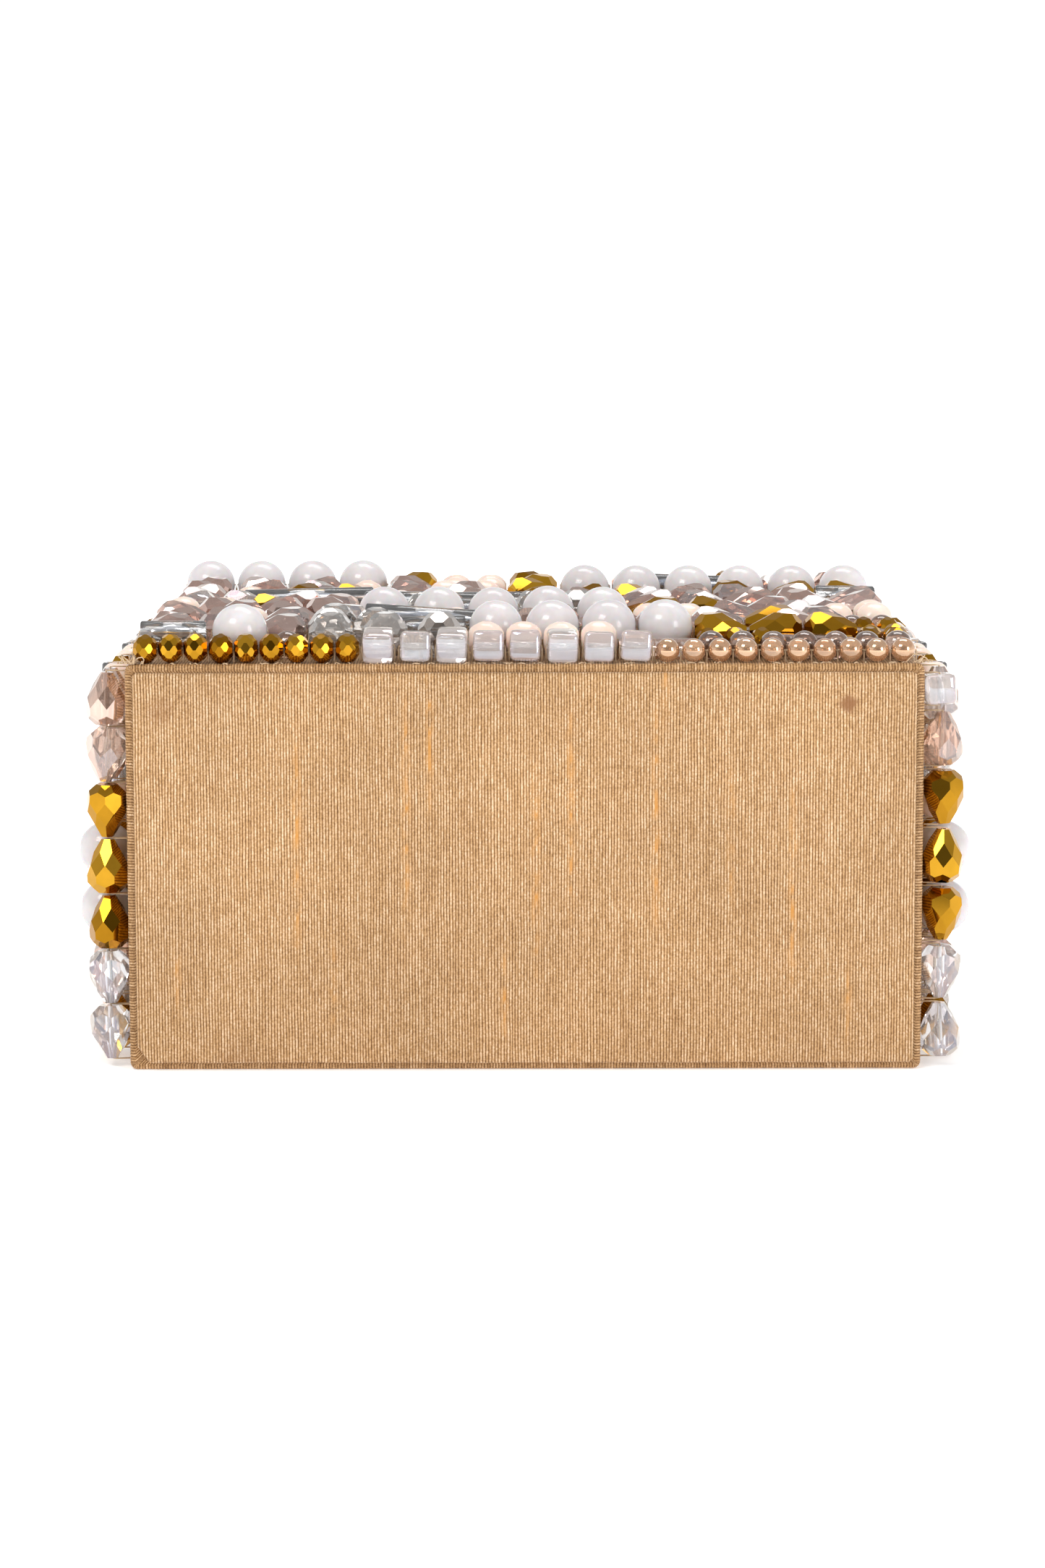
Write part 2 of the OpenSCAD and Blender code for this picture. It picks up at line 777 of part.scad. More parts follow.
color("#e8e0ea") on_sides("cube");  // side_crystal_cube
color("#8a6a58") on_sides("smoke");  // side_smoke_rounds
color("#f0efec") on_sides("pearl");  // side_pearls
color("#f4d8c8") on_sides("peach");  // side_peach_beads
color("#cfae9c") on_sides("champagne");  // side_champagne_drops
color("#b8860b") on_sides("gold");  // side_gold_drops
color("#e4e6ee") on_sides("clear");  // side_clear_drops
color("#9aa2b0") {  // side_silver_bugles
    on_sides("bugle");
    on_sides("short");
}
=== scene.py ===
"""The looks of a beaded evening bag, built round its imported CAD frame. Lengths are in metres."""

import math

import bmesh
import bpy
import numpy as np
from mathutils import Matrix, Vector


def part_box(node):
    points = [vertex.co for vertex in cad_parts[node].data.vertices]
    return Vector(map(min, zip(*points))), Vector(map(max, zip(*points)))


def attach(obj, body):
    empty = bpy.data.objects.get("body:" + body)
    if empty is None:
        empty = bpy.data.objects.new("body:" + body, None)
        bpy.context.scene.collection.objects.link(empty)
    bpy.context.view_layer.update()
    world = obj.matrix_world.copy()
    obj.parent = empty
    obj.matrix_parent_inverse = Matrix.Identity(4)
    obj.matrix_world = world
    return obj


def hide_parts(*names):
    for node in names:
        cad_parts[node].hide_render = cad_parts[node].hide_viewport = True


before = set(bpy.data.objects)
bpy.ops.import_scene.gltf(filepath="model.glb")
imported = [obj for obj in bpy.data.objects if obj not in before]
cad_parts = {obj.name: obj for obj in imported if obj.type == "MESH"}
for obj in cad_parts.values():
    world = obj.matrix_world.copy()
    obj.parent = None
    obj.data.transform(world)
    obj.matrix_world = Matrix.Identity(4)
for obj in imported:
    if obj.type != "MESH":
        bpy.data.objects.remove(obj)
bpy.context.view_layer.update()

MM = 0.001
TAU = 2 * math.pi
rng = np.random.default_rng(11)

# The box's faces, as the frame has them.
HALF_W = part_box("back_silk")[1].x
FRONT_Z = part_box("front_silk")[1].z
BASE_LOW, BASE_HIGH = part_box("base_silk")
HEM_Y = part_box("base_hem")[0].y
RIM_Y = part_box("rim_binding")[1].y
BACK_RIM_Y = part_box("back_rim_binding")[1].y
LID_LOW, LID_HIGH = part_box("lid_silk")
LINING_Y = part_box("lining")[0].y
WALL = 3.4 * MM
CORNER_R = 1.6 * MM
THREAD_SIDES = 5


# ---- Camera, floor and light ----

def make_camera():
    """The photograph's view: a little above the bag, looking at its base."""
    camera = bpy.data.objects.new("camera", bpy.data.cameras.new("camera"))
    bpy.context.scene.collection.objects.link(camera)
    camera.data.sensor_width = 36
    camera.data.lens = 90.0
    camera.location = (-0.0003, BASE_LOW.y - 0.8011, 0.1668)
    camera.rotation_euler = (math.radians(90 - 7.57), math.radians(0.1), 0)
    camera.data.clip_start = 0.01
    camera.data.clip_end = 60
    bpy.context.scene.camera = camera


def make_material(name, **sockets):
    """A material with its Principled shader, whose sockets are set by name."""
    material = bpy.data.materials.new(name)
    material.use_nodes = True
    tree = material.node_tree
    shader = tree.nodes["Principled BSDF"]
    for socket, value in sockets.items():
        shader.inputs[socket.replace("_", " ")].default_value = value
    return material, tree, shader


def add_node(tree, kind, inputs=None, **settings):
    node = tree.nodes.new(kind)
    for key, value in settings.items():
        setattr(node, key, value)
    for key, value in (inputs or {}).items():
        if isinstance(value, bpy.types.NodeSocket):
            tree.links.new(value, node.inputs[key])
        else:
            node.inputs[key].default_value = value
    return node


def object_place(tree):
    return add_node(tree, "ShaderNodeTexCoord").outputs["Object"]


def attribute(tree, name):
    return add_node(tree, "ShaderNodeAttribute", attribute_name=name).outputs["Fac"]


def noise(tree, place, scale, detail=2.0, roughness=0.5):
    return add_node(tree, "ShaderNodeTexNoise", {"Vector": place, "Scale": scale, "Detail": detail,
                                                 "Roughness": roughness}).outputs["Fac"]


def maths(tree, operation, first, second):
    return add_node(tree, "ShaderNodeMath", {0: first, 1: second}, operation=operation).outputs[0]


def remap(tree, value, start, stop, first, last, kind="LINEAR"):
    """The value moved from the range start to stop into the range first to last."""
    return add_node(tree, "ShaderNodeMapRange",
                    {"Value": value, "From Min": start, "From Max": stop, "To Min": first,
                     "To Max": last}, interpolation_type=kind).outputs["Result"]


def mix_colours(tree, factor, first, second, blend="MIX"):
    """The mix of two colours, each (red, green, blue) or a socket."""
    first, second = ((*c, 1) if isinstance(c, tuple) else c for c in (first, second))
    return add_node(tree, "ShaderNodeMix", {"Factor": factor, 6: first, 7: second},
                    data_type="RGBA", blend_type=blend).outputs[2]


def add_bump(tree, shader, height, strength, distance):
    bump = add_node(tree, "ShaderNodeBump",
                    {"Height": height, "Strength": strength, "Distance": distance})
    tree.links.new(bump.outputs["Normal"], shader.inputs["Normal"])


def make_floor():
    """A white sweep. It glows more far from the bag, to stay white where the lamps don't reach."""
    size = 14
    glow_near, glow_far = 0.40, 1.0
    mesh = bpy.data.meshes.new("floor")
    corners = [(-size, -size, 0), (size, -size, 0), (size, size, 0), (-size, size, 0)]
    mesh.from_pydata(corners, [], [(0, 1, 2, 3)])
    floor = bpy.data.objects.new("floor", mesh)
    bpy.context.scene.collection.objects.link(floor)
    material, tree, shader = make_material(
        "floor_white", Base_Color=(0.94, 0.94, 0.945, 1), Roughness=0.8, Specular_IOR_Level=0.1,
        Emission_Color=(1, 1, 1, 1))
    reach = add_node(tree, "ShaderNodeVectorMath", {0: object_place(tree)}, operation="LENGTH")
    glow = remap(tree, reach.outputs["Value"], 0.15, 0.9, glow_near, glow_far, "SMOOTHSTEP")
    tree.links.new(glow, shader.inputs["Emission Strength"])
    mesh.materials.append(material)


def make_light(name, place, target, size, power, colour=(1, 1, 1)):
    data = bpy.data.lights.new(name, "AREA")
    data.shape = "RECTANGLE"
    data.size, data.size_y = size
    data.energy = power
    data.color = colour
    light = bpy.data.objects.new(name, data)
    light.location = place
    aim = Vector(target) - Vector(place)
    light.rotation_euler = aim.to_track_quat("-Z", "Y").to_euler()
    bpy.context.scene.collection.objects.link(light)


def make_world():
    """White round the horizon, dark overhead and dim in front, so that facets have contrast."""
    world = bpy.data.worlds.new("studio")
    bpy.context.scene.world = world
    world.use_nodes = True
    tree = world.node_tree
    tree.nodes.clear()
    place = add_node(tree, "ShaderNodeTexCoord").outputs["Generated"]
    split = add_node(tree, "ShaderNodeSeparateXYZ", {"Vector": place})
    overhead = remap(tree, split.outputs["Z"], 0.20, 0.50, 1.0, 0.50, "SMOOTHSTEP")
    front = remap(tree, split.outputs["Y"], -0.93, -0.58, 0.20, 1.0, "SMOOTHSTEP")
    both = maths(tree, "MULTIPLY", overhead, front)
    sky = add_node(tree, "ShaderNodeBackground", {"Color": both, "Strength": 1.05})
    out = add_node(tree, "ShaderNodeOutputWorld")
    tree.links.new(sky.outputs["Background"], out.inputs["Surface"])


def make_studio():
    make_camera()
    make_floor()
    make_world()
    centre = (0, 0, 0.05)
    make_light("key", (-0.55, -0.75, 0.95), centre, (0.55, 0.40), 6.7, (1.0, 0.98, 0.95))
    make_light("fill", (0.80, -0.85, 0.35), centre, (0.35, 0.5), 4.2)
    make_light("top", (0.10, 0.35, 1.10), centre, (0.8, 0.35), 4.0)
    bpy.context.scene.view_settings.view_transform = "Standard"


# ---- Mesh helpers ----

def make_object(name, verts, faces, materials, body, smooth=True, indices=None, floats=None,
                closed=False):
    """A mesh object that rides on a body. floats holds point attributes by name."""
    mesh = bpy.data.meshes.new(name)
    mesh.from_pydata([tuple(v) for v in verts], [], faces)
    for material in materials:
        mesh.materials.append(material)
    smooth = smooth if hasattr(smooth, "__len__") else [smooth] * len(faces)
    mesh.polygons.foreach_set("use_smooth", smooth)
    if indices is not None:
        mesh.polygons.foreach_set("material_index", indices)
    for key, values in (floats or {}).items():
        layer = mesh.attributes.new(key, "FLOAT", "POINT")
        layer.data.foreach_set("value", np.asarray(values, np.float32))
    if closed:
        bm = bmesh.new()
        bm.from_mesh(mesh)
        bmesh.ops.recalc_face_normals(bm, faces=bm.faces)
        bm.to_mesh(mesh)
        bm.free()
    mesh.update()
    piece = bpy.data.objects.new(name, mesh)
    bpy.context.scene.collection.objects.link(piece)
    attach(piece, body)
    return piece


def stand_for(piece, slot, *nodes):
    """The piece takes the place of CAD nodes, which are hidden. The slot is not used."""
    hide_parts(*nodes)


def tube_along(path, radius, sides):
    """(points, faces) of a closed round tube along a path."""
    path = [Vector(p) for p in path]
    up = Vector((0.3, 0.2, 0.93))
    points, faces = [], []
    for i, p in enumerate(path):
        way = (path[min(i + 1, len(path) - 1)] - path[max(i - 1, 0)]).normalized()
        side = way.cross(up)
        side = side.normalized() if side.length > 1e-6 else way.orthogonal().normalized()
        up = side.cross(way)
        for k in range(sides):
            a = TAU * k / sides
            points.append(p + (side * math.cos(a) + up * math.sin(a)) * radius)
    for i in range(len(path) - 1):
        for k in range(sides):
            n = (k + 1) % sides
            faces.append((i * sides + k, i * sides + n, (i + 1) * sides + n, (i + 1) * sides + k))
    faces.append(tuple(range(sides - 1, -1, -1)))
    faces.append(tuple((len(path) - 1) * sides + k for k in range(sides)))
    return np.array([tuple(p) for p in points]), faces


def grid_faces(columns, rows, closed=False):
    """Quads of a grid whose points run column by column."""
    faces = []
    for c in range(columns if closed else columns - 1):
        n = (c + 1) % columns
        for r in range(rows - 1):
            faces.append((c * rows + r, n * rows + r, n * rows + r + 1, c * rows + r + 1))
    return faces


def smooth_noise(points, cell, seed):
    """Random values that change over about one cell, from -1 to 1, at points along a line."""
    table = np.random.default_rng(seed).uniform(-1, 1, 4096)
    place = np.asarray(points, float) / cell
    low = np.floor(place).astype(int)
    part = place - low
    part = part * part * (3 - 2 * part)
    return table[low % 4096] * (1 - part) + table[(low + 1) % 4096] * part


# ---- Silk ----

RIB = 0.61 * MM
RIB_STEPS = 4
RIB_HEIGHT = 0.12 * MM
RIB_BEAT = 1.3 * MM     # how far along a rib its height changes
SLUB_COLOUR = (0.62, 0.28, 0.06)
STAIN_COLOUR = (0.27, 0.115, 0.04)

# The thick threads of the base: share of the width, where each starts, and how far it runs.
BASE_SLUBS = [(0.055, 0.1, 0.25), (0.21, 0.25, 0.65), (0.255, 0.05, 0.3), (0.35, 0.3, 0.7),
              (0.38, 0.6, 0.5), (0.475, 0.0, 0.35), (0.515, 0.2, 0.6), (0.56, 0.35, 0.6),
              (0.67, 0.3, 0.65), (0.68, 0.8, 0.3), (0.765, 0.35, 0.45), (0.845, 0.15, 0.6),
              (0.915, 0.02, 0.3)]


def silk_material(name, stains=()):
    """Ribbed silk. The ribs come from the mesh, and their height tells the colour: painted shade
    in the grooves and a painted highlight on the crowns.
    """
    material, tree, shader = make_material(
        name, Roughness=0.5, Specular_IOR_Level=0.35, Sheen_Weight=0.25, Sheen_Roughness=0.4,
        Sheen_Tint=(1.0, 0.86, 0.66, 1))
    place = object_place(tree)
    fibre = noise(tree, place, 2300.0, roughness=0.6)
    lumps = maths(tree, "ADD", fibre, -0.5)
    tone = maths(tree, "ADD", attribute(tree, "rib"), lumps)
    # The ramp paints light and shade by rib height: a dark painted shade in the grooves (0) and a
    # light painted highlight on the crowns (1). The fibre noise shifts it a little at random.
    ramp = add_node(tree, "ShaderNodeValToRGB", {"Fac": tone})
    stops = ramp.color_ramp.elements
    stops[0].color = (0.115, 0.045, 0.012, 1)
    stops[1].color = (0.86, 0.64, 0.43, 1)
    for position, colour in ((0.34, (0.34, 0.175, 0.060, 1)), (0.70, (0.60, 0.36, 0.17, 1))):
        stops.new(position).color = colour
    warm = mix_colours(tree, attribute(tree, "slub"), ramp.outputs["Color"], SLUB_COLOUR)
    cloud = remap(tree, noise(tree, place, 28.0, 3.0), 0.3, 0.7, 0.90, 1.05)
    colour = mix_colours(tree, 1.0, warm, cloud, "MULTIPLY")
    for centre, radius, strength in stains:
        reach = add_node(tree, "ShaderNodeVectorMath", {0: place, 1: centre}, operation="DISTANCE")
        wander = maths(tree, "MULTIPLY", noise(tree, place, 900.0), radius)
        edge = maths(tree, "SUBTRACT", reach.outputs["Value"], wander)
        mask = remap(tree, edge, 0.0, radius, strength, 0.0, "SMOOTHSTEP")
        colour = mix_colours(tree, mask, colour, STAIN_COLOUR)
    tree.links.new(colour, shader.inputs["Base Color"])
    add_bump(tree, shader, fibre, 0.35, 0.1 * MM)
    return material


class Ribs:
    """Ribs along a length: where they are, how high, and where a thick thread runs.

    Smooth cloth has slubs of None, and points a millimetre apart."""

    def __init__(self, length, seed, slubs):
        self.smooth = slubs is None
        if self.smooth:
            self.places = rows_between(0, length, 1.2 * MM, 1.0 * MM)
            return
        local = np.random.default_rng(seed)
        count = max(int(round(length / RIB)), 2)
        widths = local.uniform(0.91, 1.09, count)
        edges = np.concatenate([[0], np.cumsum(widths)]) / widths.sum() * length
        steps = np.arange(count * RIB_STEPS + 1)
        self.rib = np.minimum(steps // RIB_STEPS, count - 1)
        self.part = steps % RIB_STEPS / RIB_STEPS
        self.places = np.interp(steps / RIB_STEPS, np.arange(count + 1), edges)
        self.lift = local.uniform(0.91, 1.0, count)
        if not hasattr(slubs, "__len__"):
            slubs = [[local.uniform(*reach) for reach in ((0.02, 0.98), (-0.5, 1.0), (0.25, 0.9))]
                     for _ in range(slubs)]
        self.slubs = [(int(share * count), start, long) for share, start, long in slubs]
        self.seed = seed

    def height(self, column, along):
        """Rib height from 0 to 1 and slub strength from 0 to 1, at points along one column."""
        if self.smooth:
            return np.full(len(along), 0.6), np.zeros(len(along))
        rib = self.rib[column]
        crown = math.sin(math.pi * self.part[column]) ** 0.7
        beat = 0.86 + 0.14 * smooth_noise(along, RIB_BEAT, self.seed * 977 + rib)
        height = crown * self.lift[rib] * beat
        slub = np.zeros(len(along))
        share = (along - along[0]) / max(along[-1] - along[0], 1e-9)
        for place, start, length in self.slubs:
            if abs(rib - place) <= 1:
                inside = np.clip(6 * np.minimum(share - start, start + length - share), 0, 1)
                dashes = smooth_noise(along, 1.2 * MM, place * 7 + rib)
                inside *= np.clip(0.35 + 0.9 * dashes, 0, 1)
                slub = np.maximum(slub, inside * (1.0 if rib == place else 0.35))
        height = height * (1 - 0.5 * slub) + 0.5 * slub
        return height, slub


def edge_drop(distance, radius):
    """How far a rounded edge falls back, at a distance in from the edge."""
    inside = min(max(radius - distance, 0), radius)
    return radius - math.sqrt(radius * radius - inside * inside)


def rows_between(low, high, radius, step):
    """Places along a panel, close together at its rounded ends."""
    arc = radius * (1 - np.cos(np.linspace(0, math.pi / 2, 7)))
    count = max(int((high - low - 2 * radius) / step), 2)
    middle = np.linspace(low + radius, high - radius, count)
    return np.concatenate([low + arc[:-1], middle, (high - arc[:-1])[::-1]])


ROW_STEP = 1.4 * MM


def ribbed_panel(name, low, high, face, back, radius, seed, slubs, material, body, upright=True,
                 cuts=None, relief=None, hollow=None):
    """A cloth-covered card with rounded edges and ribs across its width.

    Its width runs along X. Its height runs along Z when it is upright, with its face at a Y, and
    along Y otherwise, with its face at a Z. cuts gives, for a corner as (left or right, low or
    high), how far it is cut each way. relief gives an extra height at a share of each way. hollow
    is for a skin that is open behind: its thickness, and a function that gives where its edge ends
    at a place."""
    out = 1 if face > back else -1
    low, high = ((corner[0], corner[2 if upright else 1]) for corner in (low, high))
    width = high[0] - low[0]
    ribs = Ribs(width, seed, slubs)
    rows = rows_between(low[1], high[1], radius, ROW_STEP)
    span = rows[-1] - rows[0]
    edge_wave = 0.10 * MM * smooth_noise(ribs.places, 9 * MM, seed + 5)
    points, heights, slubbed = [], [], []
    for c, place in enumerate(ribs.places):
        h, s = ribs.height(c, rows)
        wander = 0.07 * MM * smooth_noise(rows, 7 * MM, seed * 31 + int(place / (6 * MM)))
        to_edge = min(place, width - place)
        trim = {-1: 0.0, 1: 0.0}
        for (side, end), (cut_x, cut_z) in (cuts or {}).items():
            reach = place if side < 0 else width - place
            if reach < cut_x:
                trim[end] = max(trim[end], (1 - reach / cut_x) * cut_z)
        for r, row in enumerate(rows):
            share = (row - rows[0]) / span
            v = rows[0] + trim[-1] + share * (span - trim[-1] - trim[1])
            v += edge_wave[c] * (1 - 1.5 * share)
            to_end = min(row - rows[0], rows[-1] - row)
            near = min(to_edge, to_end)
            if to_edge < radius and to_end < radius:
                near = max(radius - math.hypot(radius - to_edge, radius - to_end), 0)
            drop = min(edge_drop(near, radius), abs(face - back))
            w = face - out * (drop + RIB_HEIGHT * (0.6 - h[r]))
            if relief:
                w += out * relief(place / width, share)
            points.append((low[0] + place + wander[r] * min(1, to_edge / RIB), v, w))
        heights.extend(h)
        slubbed.extend(s)
    n, m = len(ribs.places), len(rows)
    faces = grid_faces(n, m)
    # The skirt: the rim of the grid goes down to the back, which is closed.
    ring = [c * m for c in range(n)] + [(n - 1) * m + r for r in range(1, m)]
    ring += [c * m + m - 1 for c in range(n - 2, -1, -1)] + [r for r in range(m - 2, 0, -1)]
    thick, end_of = hollow or (0.0, None)
    edge = [(points[index][0], points[index][1], heights[index]) for index in ring]
    ends = [end_of(u, v) if hollow else back for u, v, _ in edge]
    levels = [(0.0, ends)]
    if hollow:
        levels += [(thick, ends), (thick, [face - out * thick] * len(ring))]
    above = ring
    for inset, level in levels:
        first = len(points)
        for (u, v, h), w in zip(edge, level):
            if inset:
                u = min(max(u, low[0] + inset), high[0] - inset)
                v = min(max(v, low[1] + inset), high[1] - inset)
            points.append((u, v, w))
            heights.append(h)
            slubbed.append(0.0)
        below = list(range(first, first + len(ring)))
        for k in range(len(ring)):
            after = (k + 1) % len(ring)
            faces.append((above[after], above[k], below[k], below[after]))
        above = below
    faces.append(tuple(above))
    verts = [(u, w, v) if upright else (u, v, w) for u, v, w in points]
    smooth = [len(f) == 4 for f in faces]
    return make_object(name, verts, faces, [material], body, smooth,
                       floats={"rib": heights, "slub": slubbed}, closed=True)


def wall_outline(wall, inset, steps, bends):
    """(X, Z, outward X, outward Z) along one wall, from the middle of one corner to the next.

    Walls are numbered anticlockwise from the front: front, left, back and right."""
    radius = max(CORNER_R - inset, 0.3 * MM)
    x = HALF_W - inset - radius
    z0, z1 = inset + radius, FRONT_Z - inset - radius
    corners = [(x, z1), (-x, z1), (-x, z0), (x, z0)]
    a, b = corners[wall], corners[(wall + 1) % 4]
    facing = 90 * (wall + 1)
    turns = [(a, facing - 45 + 45 * k / bends) for k in range(bends)]
    turns += [((a[0] + (b[0] - a[0]) * k / steps, a[1] + (b[1] - a[1]) * k / steps), facing)
              for k in range(steps + 1)]
    turns += [(b, facing + 45 * k / bends) for k in range(1, bends + 1)]
    points = []
    for (cx, cz), angle in turns:
        nx, nz = math.cos(math.radians(angle)), math.sin(math.radians(angle))
        points.append((cx + radius * nx, cz + radius * nz, nx, nz))
    return points


def wall_profile(turned_in):
    """(Y, inset) down a wall's cover: under the base panel, round the edge and up to the rim."""
    radius = 1.1 * MM
    hem = [(HEM_Y, inset) for inset in np.arange(6.1 * MM, radius, -1.2 * MM)]
    arc = [(HEM_Y + radius * (1 - math.cos(a)), radius * (1 - math.sin(a)))
           for a in np.linspace(0, math.pi / 2, 6)]
    rise = [(y, 0.0) for y in np.linspace(HEM_Y + radius, RIM_Y - 0.6 * MM, 22)][1:]
    over = [(RIM_Y - 0.15 * MM, 0.15 * MM), (RIM_Y, 0.6 * MM), (RIM_Y, WALL)] if turned_in else \
        [(RIM_Y, 0.0)]
    return hem + arc + rise + over


def wall_cover(name, wall, nodes, seed, material):
    """One wall's silk, with its ribs running upwards and turned in under the base panel."""
    length = FRONT_Z if wall % 2 else 2 * HALF_W
    profile = wall_profile(wall != 2)
    rings = [wall_outline(wall, inset, int(length / RIB) * RIB_STEPS, 9) for _, inset in profile]
    ys = np.array([y for y, _ in profile])
    run = np.concatenate([[0], np.cumsum(np.hypot(np.diff(ys), np.diff([i for _, i in profile])))])
    lift = np.random.default_rng(seed).uniform(0.66, 0.94, 4000)
    count = len(rings[0])
    verts, heights = [], []
    for c in range(count):
        rib, part = divmod(c, RIB_STEPS)
        beat = 0.82 + 0.18 * smooth_noise(run, RIB_BEAT, seed * 977 + rib)
        crown = math.sin(math.pi * part / RIB_STEPS) ** 0.7 * lift[rib]
        for r, y in enumerate(ys):
            h = crown * beat[r]
            x, z, nx, nz = rings[r][c]
            out = RIB_HEIGHT * (h - 0.75)
            if y > HEM_Y + 0.6 * MM:
                verts.append((x + nx * out, y, z + nz * out))
            else:
                verts.append((x, y - out, z))
            heights.append(h)
    faces = [tuple(reversed(f)) for f in grid_faces(count, len(profile))]
    piece = make_object(name, verts, faces, [material], "bag",
                        floats={"rib": heights, "slub": [0.0] * len(verts)})
    thicken(piece, 0.35 * MM)
    stand_for(piece, "silk", *nodes)


def rim_bar(name, node, material):
    """The silk over the back wall's top edge, with its ribs running over the edge."""
    radius = 1.2 * MM
    section = [(RIM_Y, 0.0, 0, -1)]
    for centre, start in ((radius, 180), (WALL - radius, 90)):
        for k in range(6):
            a = math.radians(start - 90 * k / 5)
            ny, nz = math.sin(a), math.cos(a)
            section.append((BACK_RIM_Y - radius + radius * ny, centre + radius * nz, ny, nz))
    section.append((RIM_Y, WALL, 0, 1))
    ribs = Ribs(2 * HALF_W, 31, 0)
    run = np.linspace(0, 9 * MM, len(section))
    verts, heights = [], []
    for c, place in enumerate(ribs.places):
        h, _ = ribs.height(c, run)
        ease = 0.5 * MM * max(0, 1 - min(place, 2 * HALF_W - place) / (1.0 * MM)) ** 2
        for r, (y, z, ny, nz) in enumerate(section):
            out = RIB_HEIGHT * (h[r] - 0.8) - ease
            verts.append((place - HALF_W, y + ny * out, z + nz * out))
            heights.append(h[r])
    n, m = len(ribs.places), len(section)
    faces = grid_faces(n, m) + [(c * m, (c + 1) * m, (c + 1) * m + m - 1, c * m + m - 1)
                                for c in range(n - 1)]
    faces += [tuple(range(m)), tuple((n - 1) * m + r for r in range(m))]
    smooth = [len(f) == 4 for f in faces]
    piece = make_object(name, verts, faces, [material], "bag", smooth,
                        floats={"rib": heights, "slub": [0.0] * len(verts)}, closed=True)
    stand_for(piece, "silk_hem", node)


def thicken(piece, thickness):
    """Gives a sheet its thickness, inwards from its face."""
    solid = piece.modifiers.new("thickness", "SOLIDIFY")
    solid.thickness = thickness
    solid.offset = -1


def make_silk():
    stains = [((66.6 * MM, BASE_LOW.y, 77 * MM), 1.6 * MM, 0.9),
              ((-75.0 * MM, BASE_LOW.y, 75.5 * MM), 2.6 * MM, 0.32),
              ((-60.0 * MM, BASE_LOW.y, 2 * MM), 4.0 * MM, 0.2)]
    silk = silk_material("silk_base", stains)
    plain = silk_material("silk_plain")
    base = ribbed_panel("base_cover", BASE_LOW, BASE_HIGH, BASE_LOW.y, BASE_HIGH.y, 0.9 * MM, 3,
                        BASE_SLUBS, silk, "bag",
                        cuts={(-1, -1): (2.6 * MM, 3.6 * MM), (1, -1): (0.9 * MM, 0.8 * MM),
                              (-1, 1): (0.8 * MM, 0.6 * MM), (1, 1): (0.8 * MM, 0.5 * MM)})
    stand_for(base, "silk", "base_silk")
    wall_cover("front_cover", 0, ["front_silk", "rim_binding"], 21, plain)
    wall_cover("left_cover", 1, ["left_silk"], 22, plain)
    wall_cover("back_cover", 2, ["back_silk", "base_hem"], 23, plain)
    wall_cover("right_cover", 3, ["right_silk"], 24, plain)
    rim_bar("back_rim_cover", "back_rim_binding", plain)
    leaf_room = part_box("hinge_lid_leaf")[0].y + 0.9 * MM

    def lid_edge(x, z):
        over_leaf = z < LID_LOW.z + 0.5 * MM and abs(x) < HALF_W - 1.0 * MM
        return leaf_room if over_leaf else LID_LOW.y

    lid = ribbed_panel("lid_cover", LID_LOW, LID_HIGH, LID_HIGH.y, LID_LOW.y, 1.2 * MM, 5, 9,
                       plain, "lid", hollow=(0.45 * MM, lid_edge))
    stand_for(lid, "silk", "lid_silk")


# ---- Inside ----

def make_lining():
    """The satin lining: four walls and a floor in one sheet, a little rippled by its glue."""
    floor_y = LINING_Y + 0.5 * MM
    radius = 1.0 * MM
    inset = WALL - 0.05 * MM
    rows = [(y, inset) for y in np.linspace(RIM_Y - 0.2 * MM, floor_y + radius, 48)]
    rows += [(floor_y + radius * (1 - math.sin(a)), inset + radius * (1 - math.cos(a)))
             for a in np.linspace(0, math.pi / 2, 6)][1:]
    rows += [(floor_y, i) for i in np.arange(inset + radius + 2 * MM, 40 * MM, 2.5 * MM)]
    rings = [[p for wall in range(4) for p in wall_outline(wall, i, 44, 3)[:-1]] for _, i in rows]
    count = len(rings[0])
    verts = []
    for c in range(count):
        pull = 0.10 * MM * smooth_noise([c * 3.0 * MM], 8 * MM, 61)[0]
        for r, (y, _) in enumerate(rows):
            x, z, nx, nz = rings[r][c]
            ripple = pull + 0.08 * MM * smooth_noise([y + c * 0.7 * MM], 11 * MM, 62)[0]
            ripple *= math.sin(math.pi * min(r / 48, 1))
            verts.append((x - nx * ripple, y, z - nz * ripple))
    faces = grid_faces(count, len(rows), closed=True)
    faces.append(tuple(c * len(rows) + len(rows) - 1 for c in range(count)))
    piece = make_object("lining_cover", verts, faces, [MATERIALS["satin"]], "bag")
    thicken(piece, 0.3 * MM)
    stand_for(piece, "satin", "lining")


SEAM = 1.2 * MM        # from the pocket's edge to its stitches
STITCH = 2.6 * MM


def stitches(name, corners):
    """Running stitches from corner to corner, on a face that looks along +Z."""
    group = Group()
    outward = Vector((0, 0, 1))
    for start, end in zip(corners, corners[1:]):
        start, end = Vector(start), Vector(end)
        count = int((end - start).length / STITCH)
        for k in range(count):
            a = start.lerp(end, (k + 0.15) / count)
            b = start.lerp(end, (k + 0.80) / count)
            path = [a - outward * 0.25 * MM, a.lerp(b, 0.2) + outward * 0.08 * MM,
                    a.lerp(b, 0.8) + outward * 0.08 * MM, b - outward * 0.25 * MM]
            group.add_thread(path, 0.14 * MM)
    group.build(name, [MATERIALS["thread"]], "bag")


def quilted(width, height):
    """The relief of a pad quilted in diamonds, by a share of its width and of its height."""
    step, groove = 14 * MM, 1.1 * MM

    def relief(u, v):
        x, y = (u - 0.5) * width, (v - 0.5) * height
        depth = 0.0
        for way in (-1, 1):
            off = ((x + way * y) / step + 0.5) % 1 - 0.5
            depth = max(depth, math.exp(-(off * step / math.sqrt(2) / groove) ** 2))
        near = min(min(u, 1 - u) * width, min(v, 1 - v) * height)
        return -0.7 * MM * depth * min(near / (3 * MM), 1)
    return relief


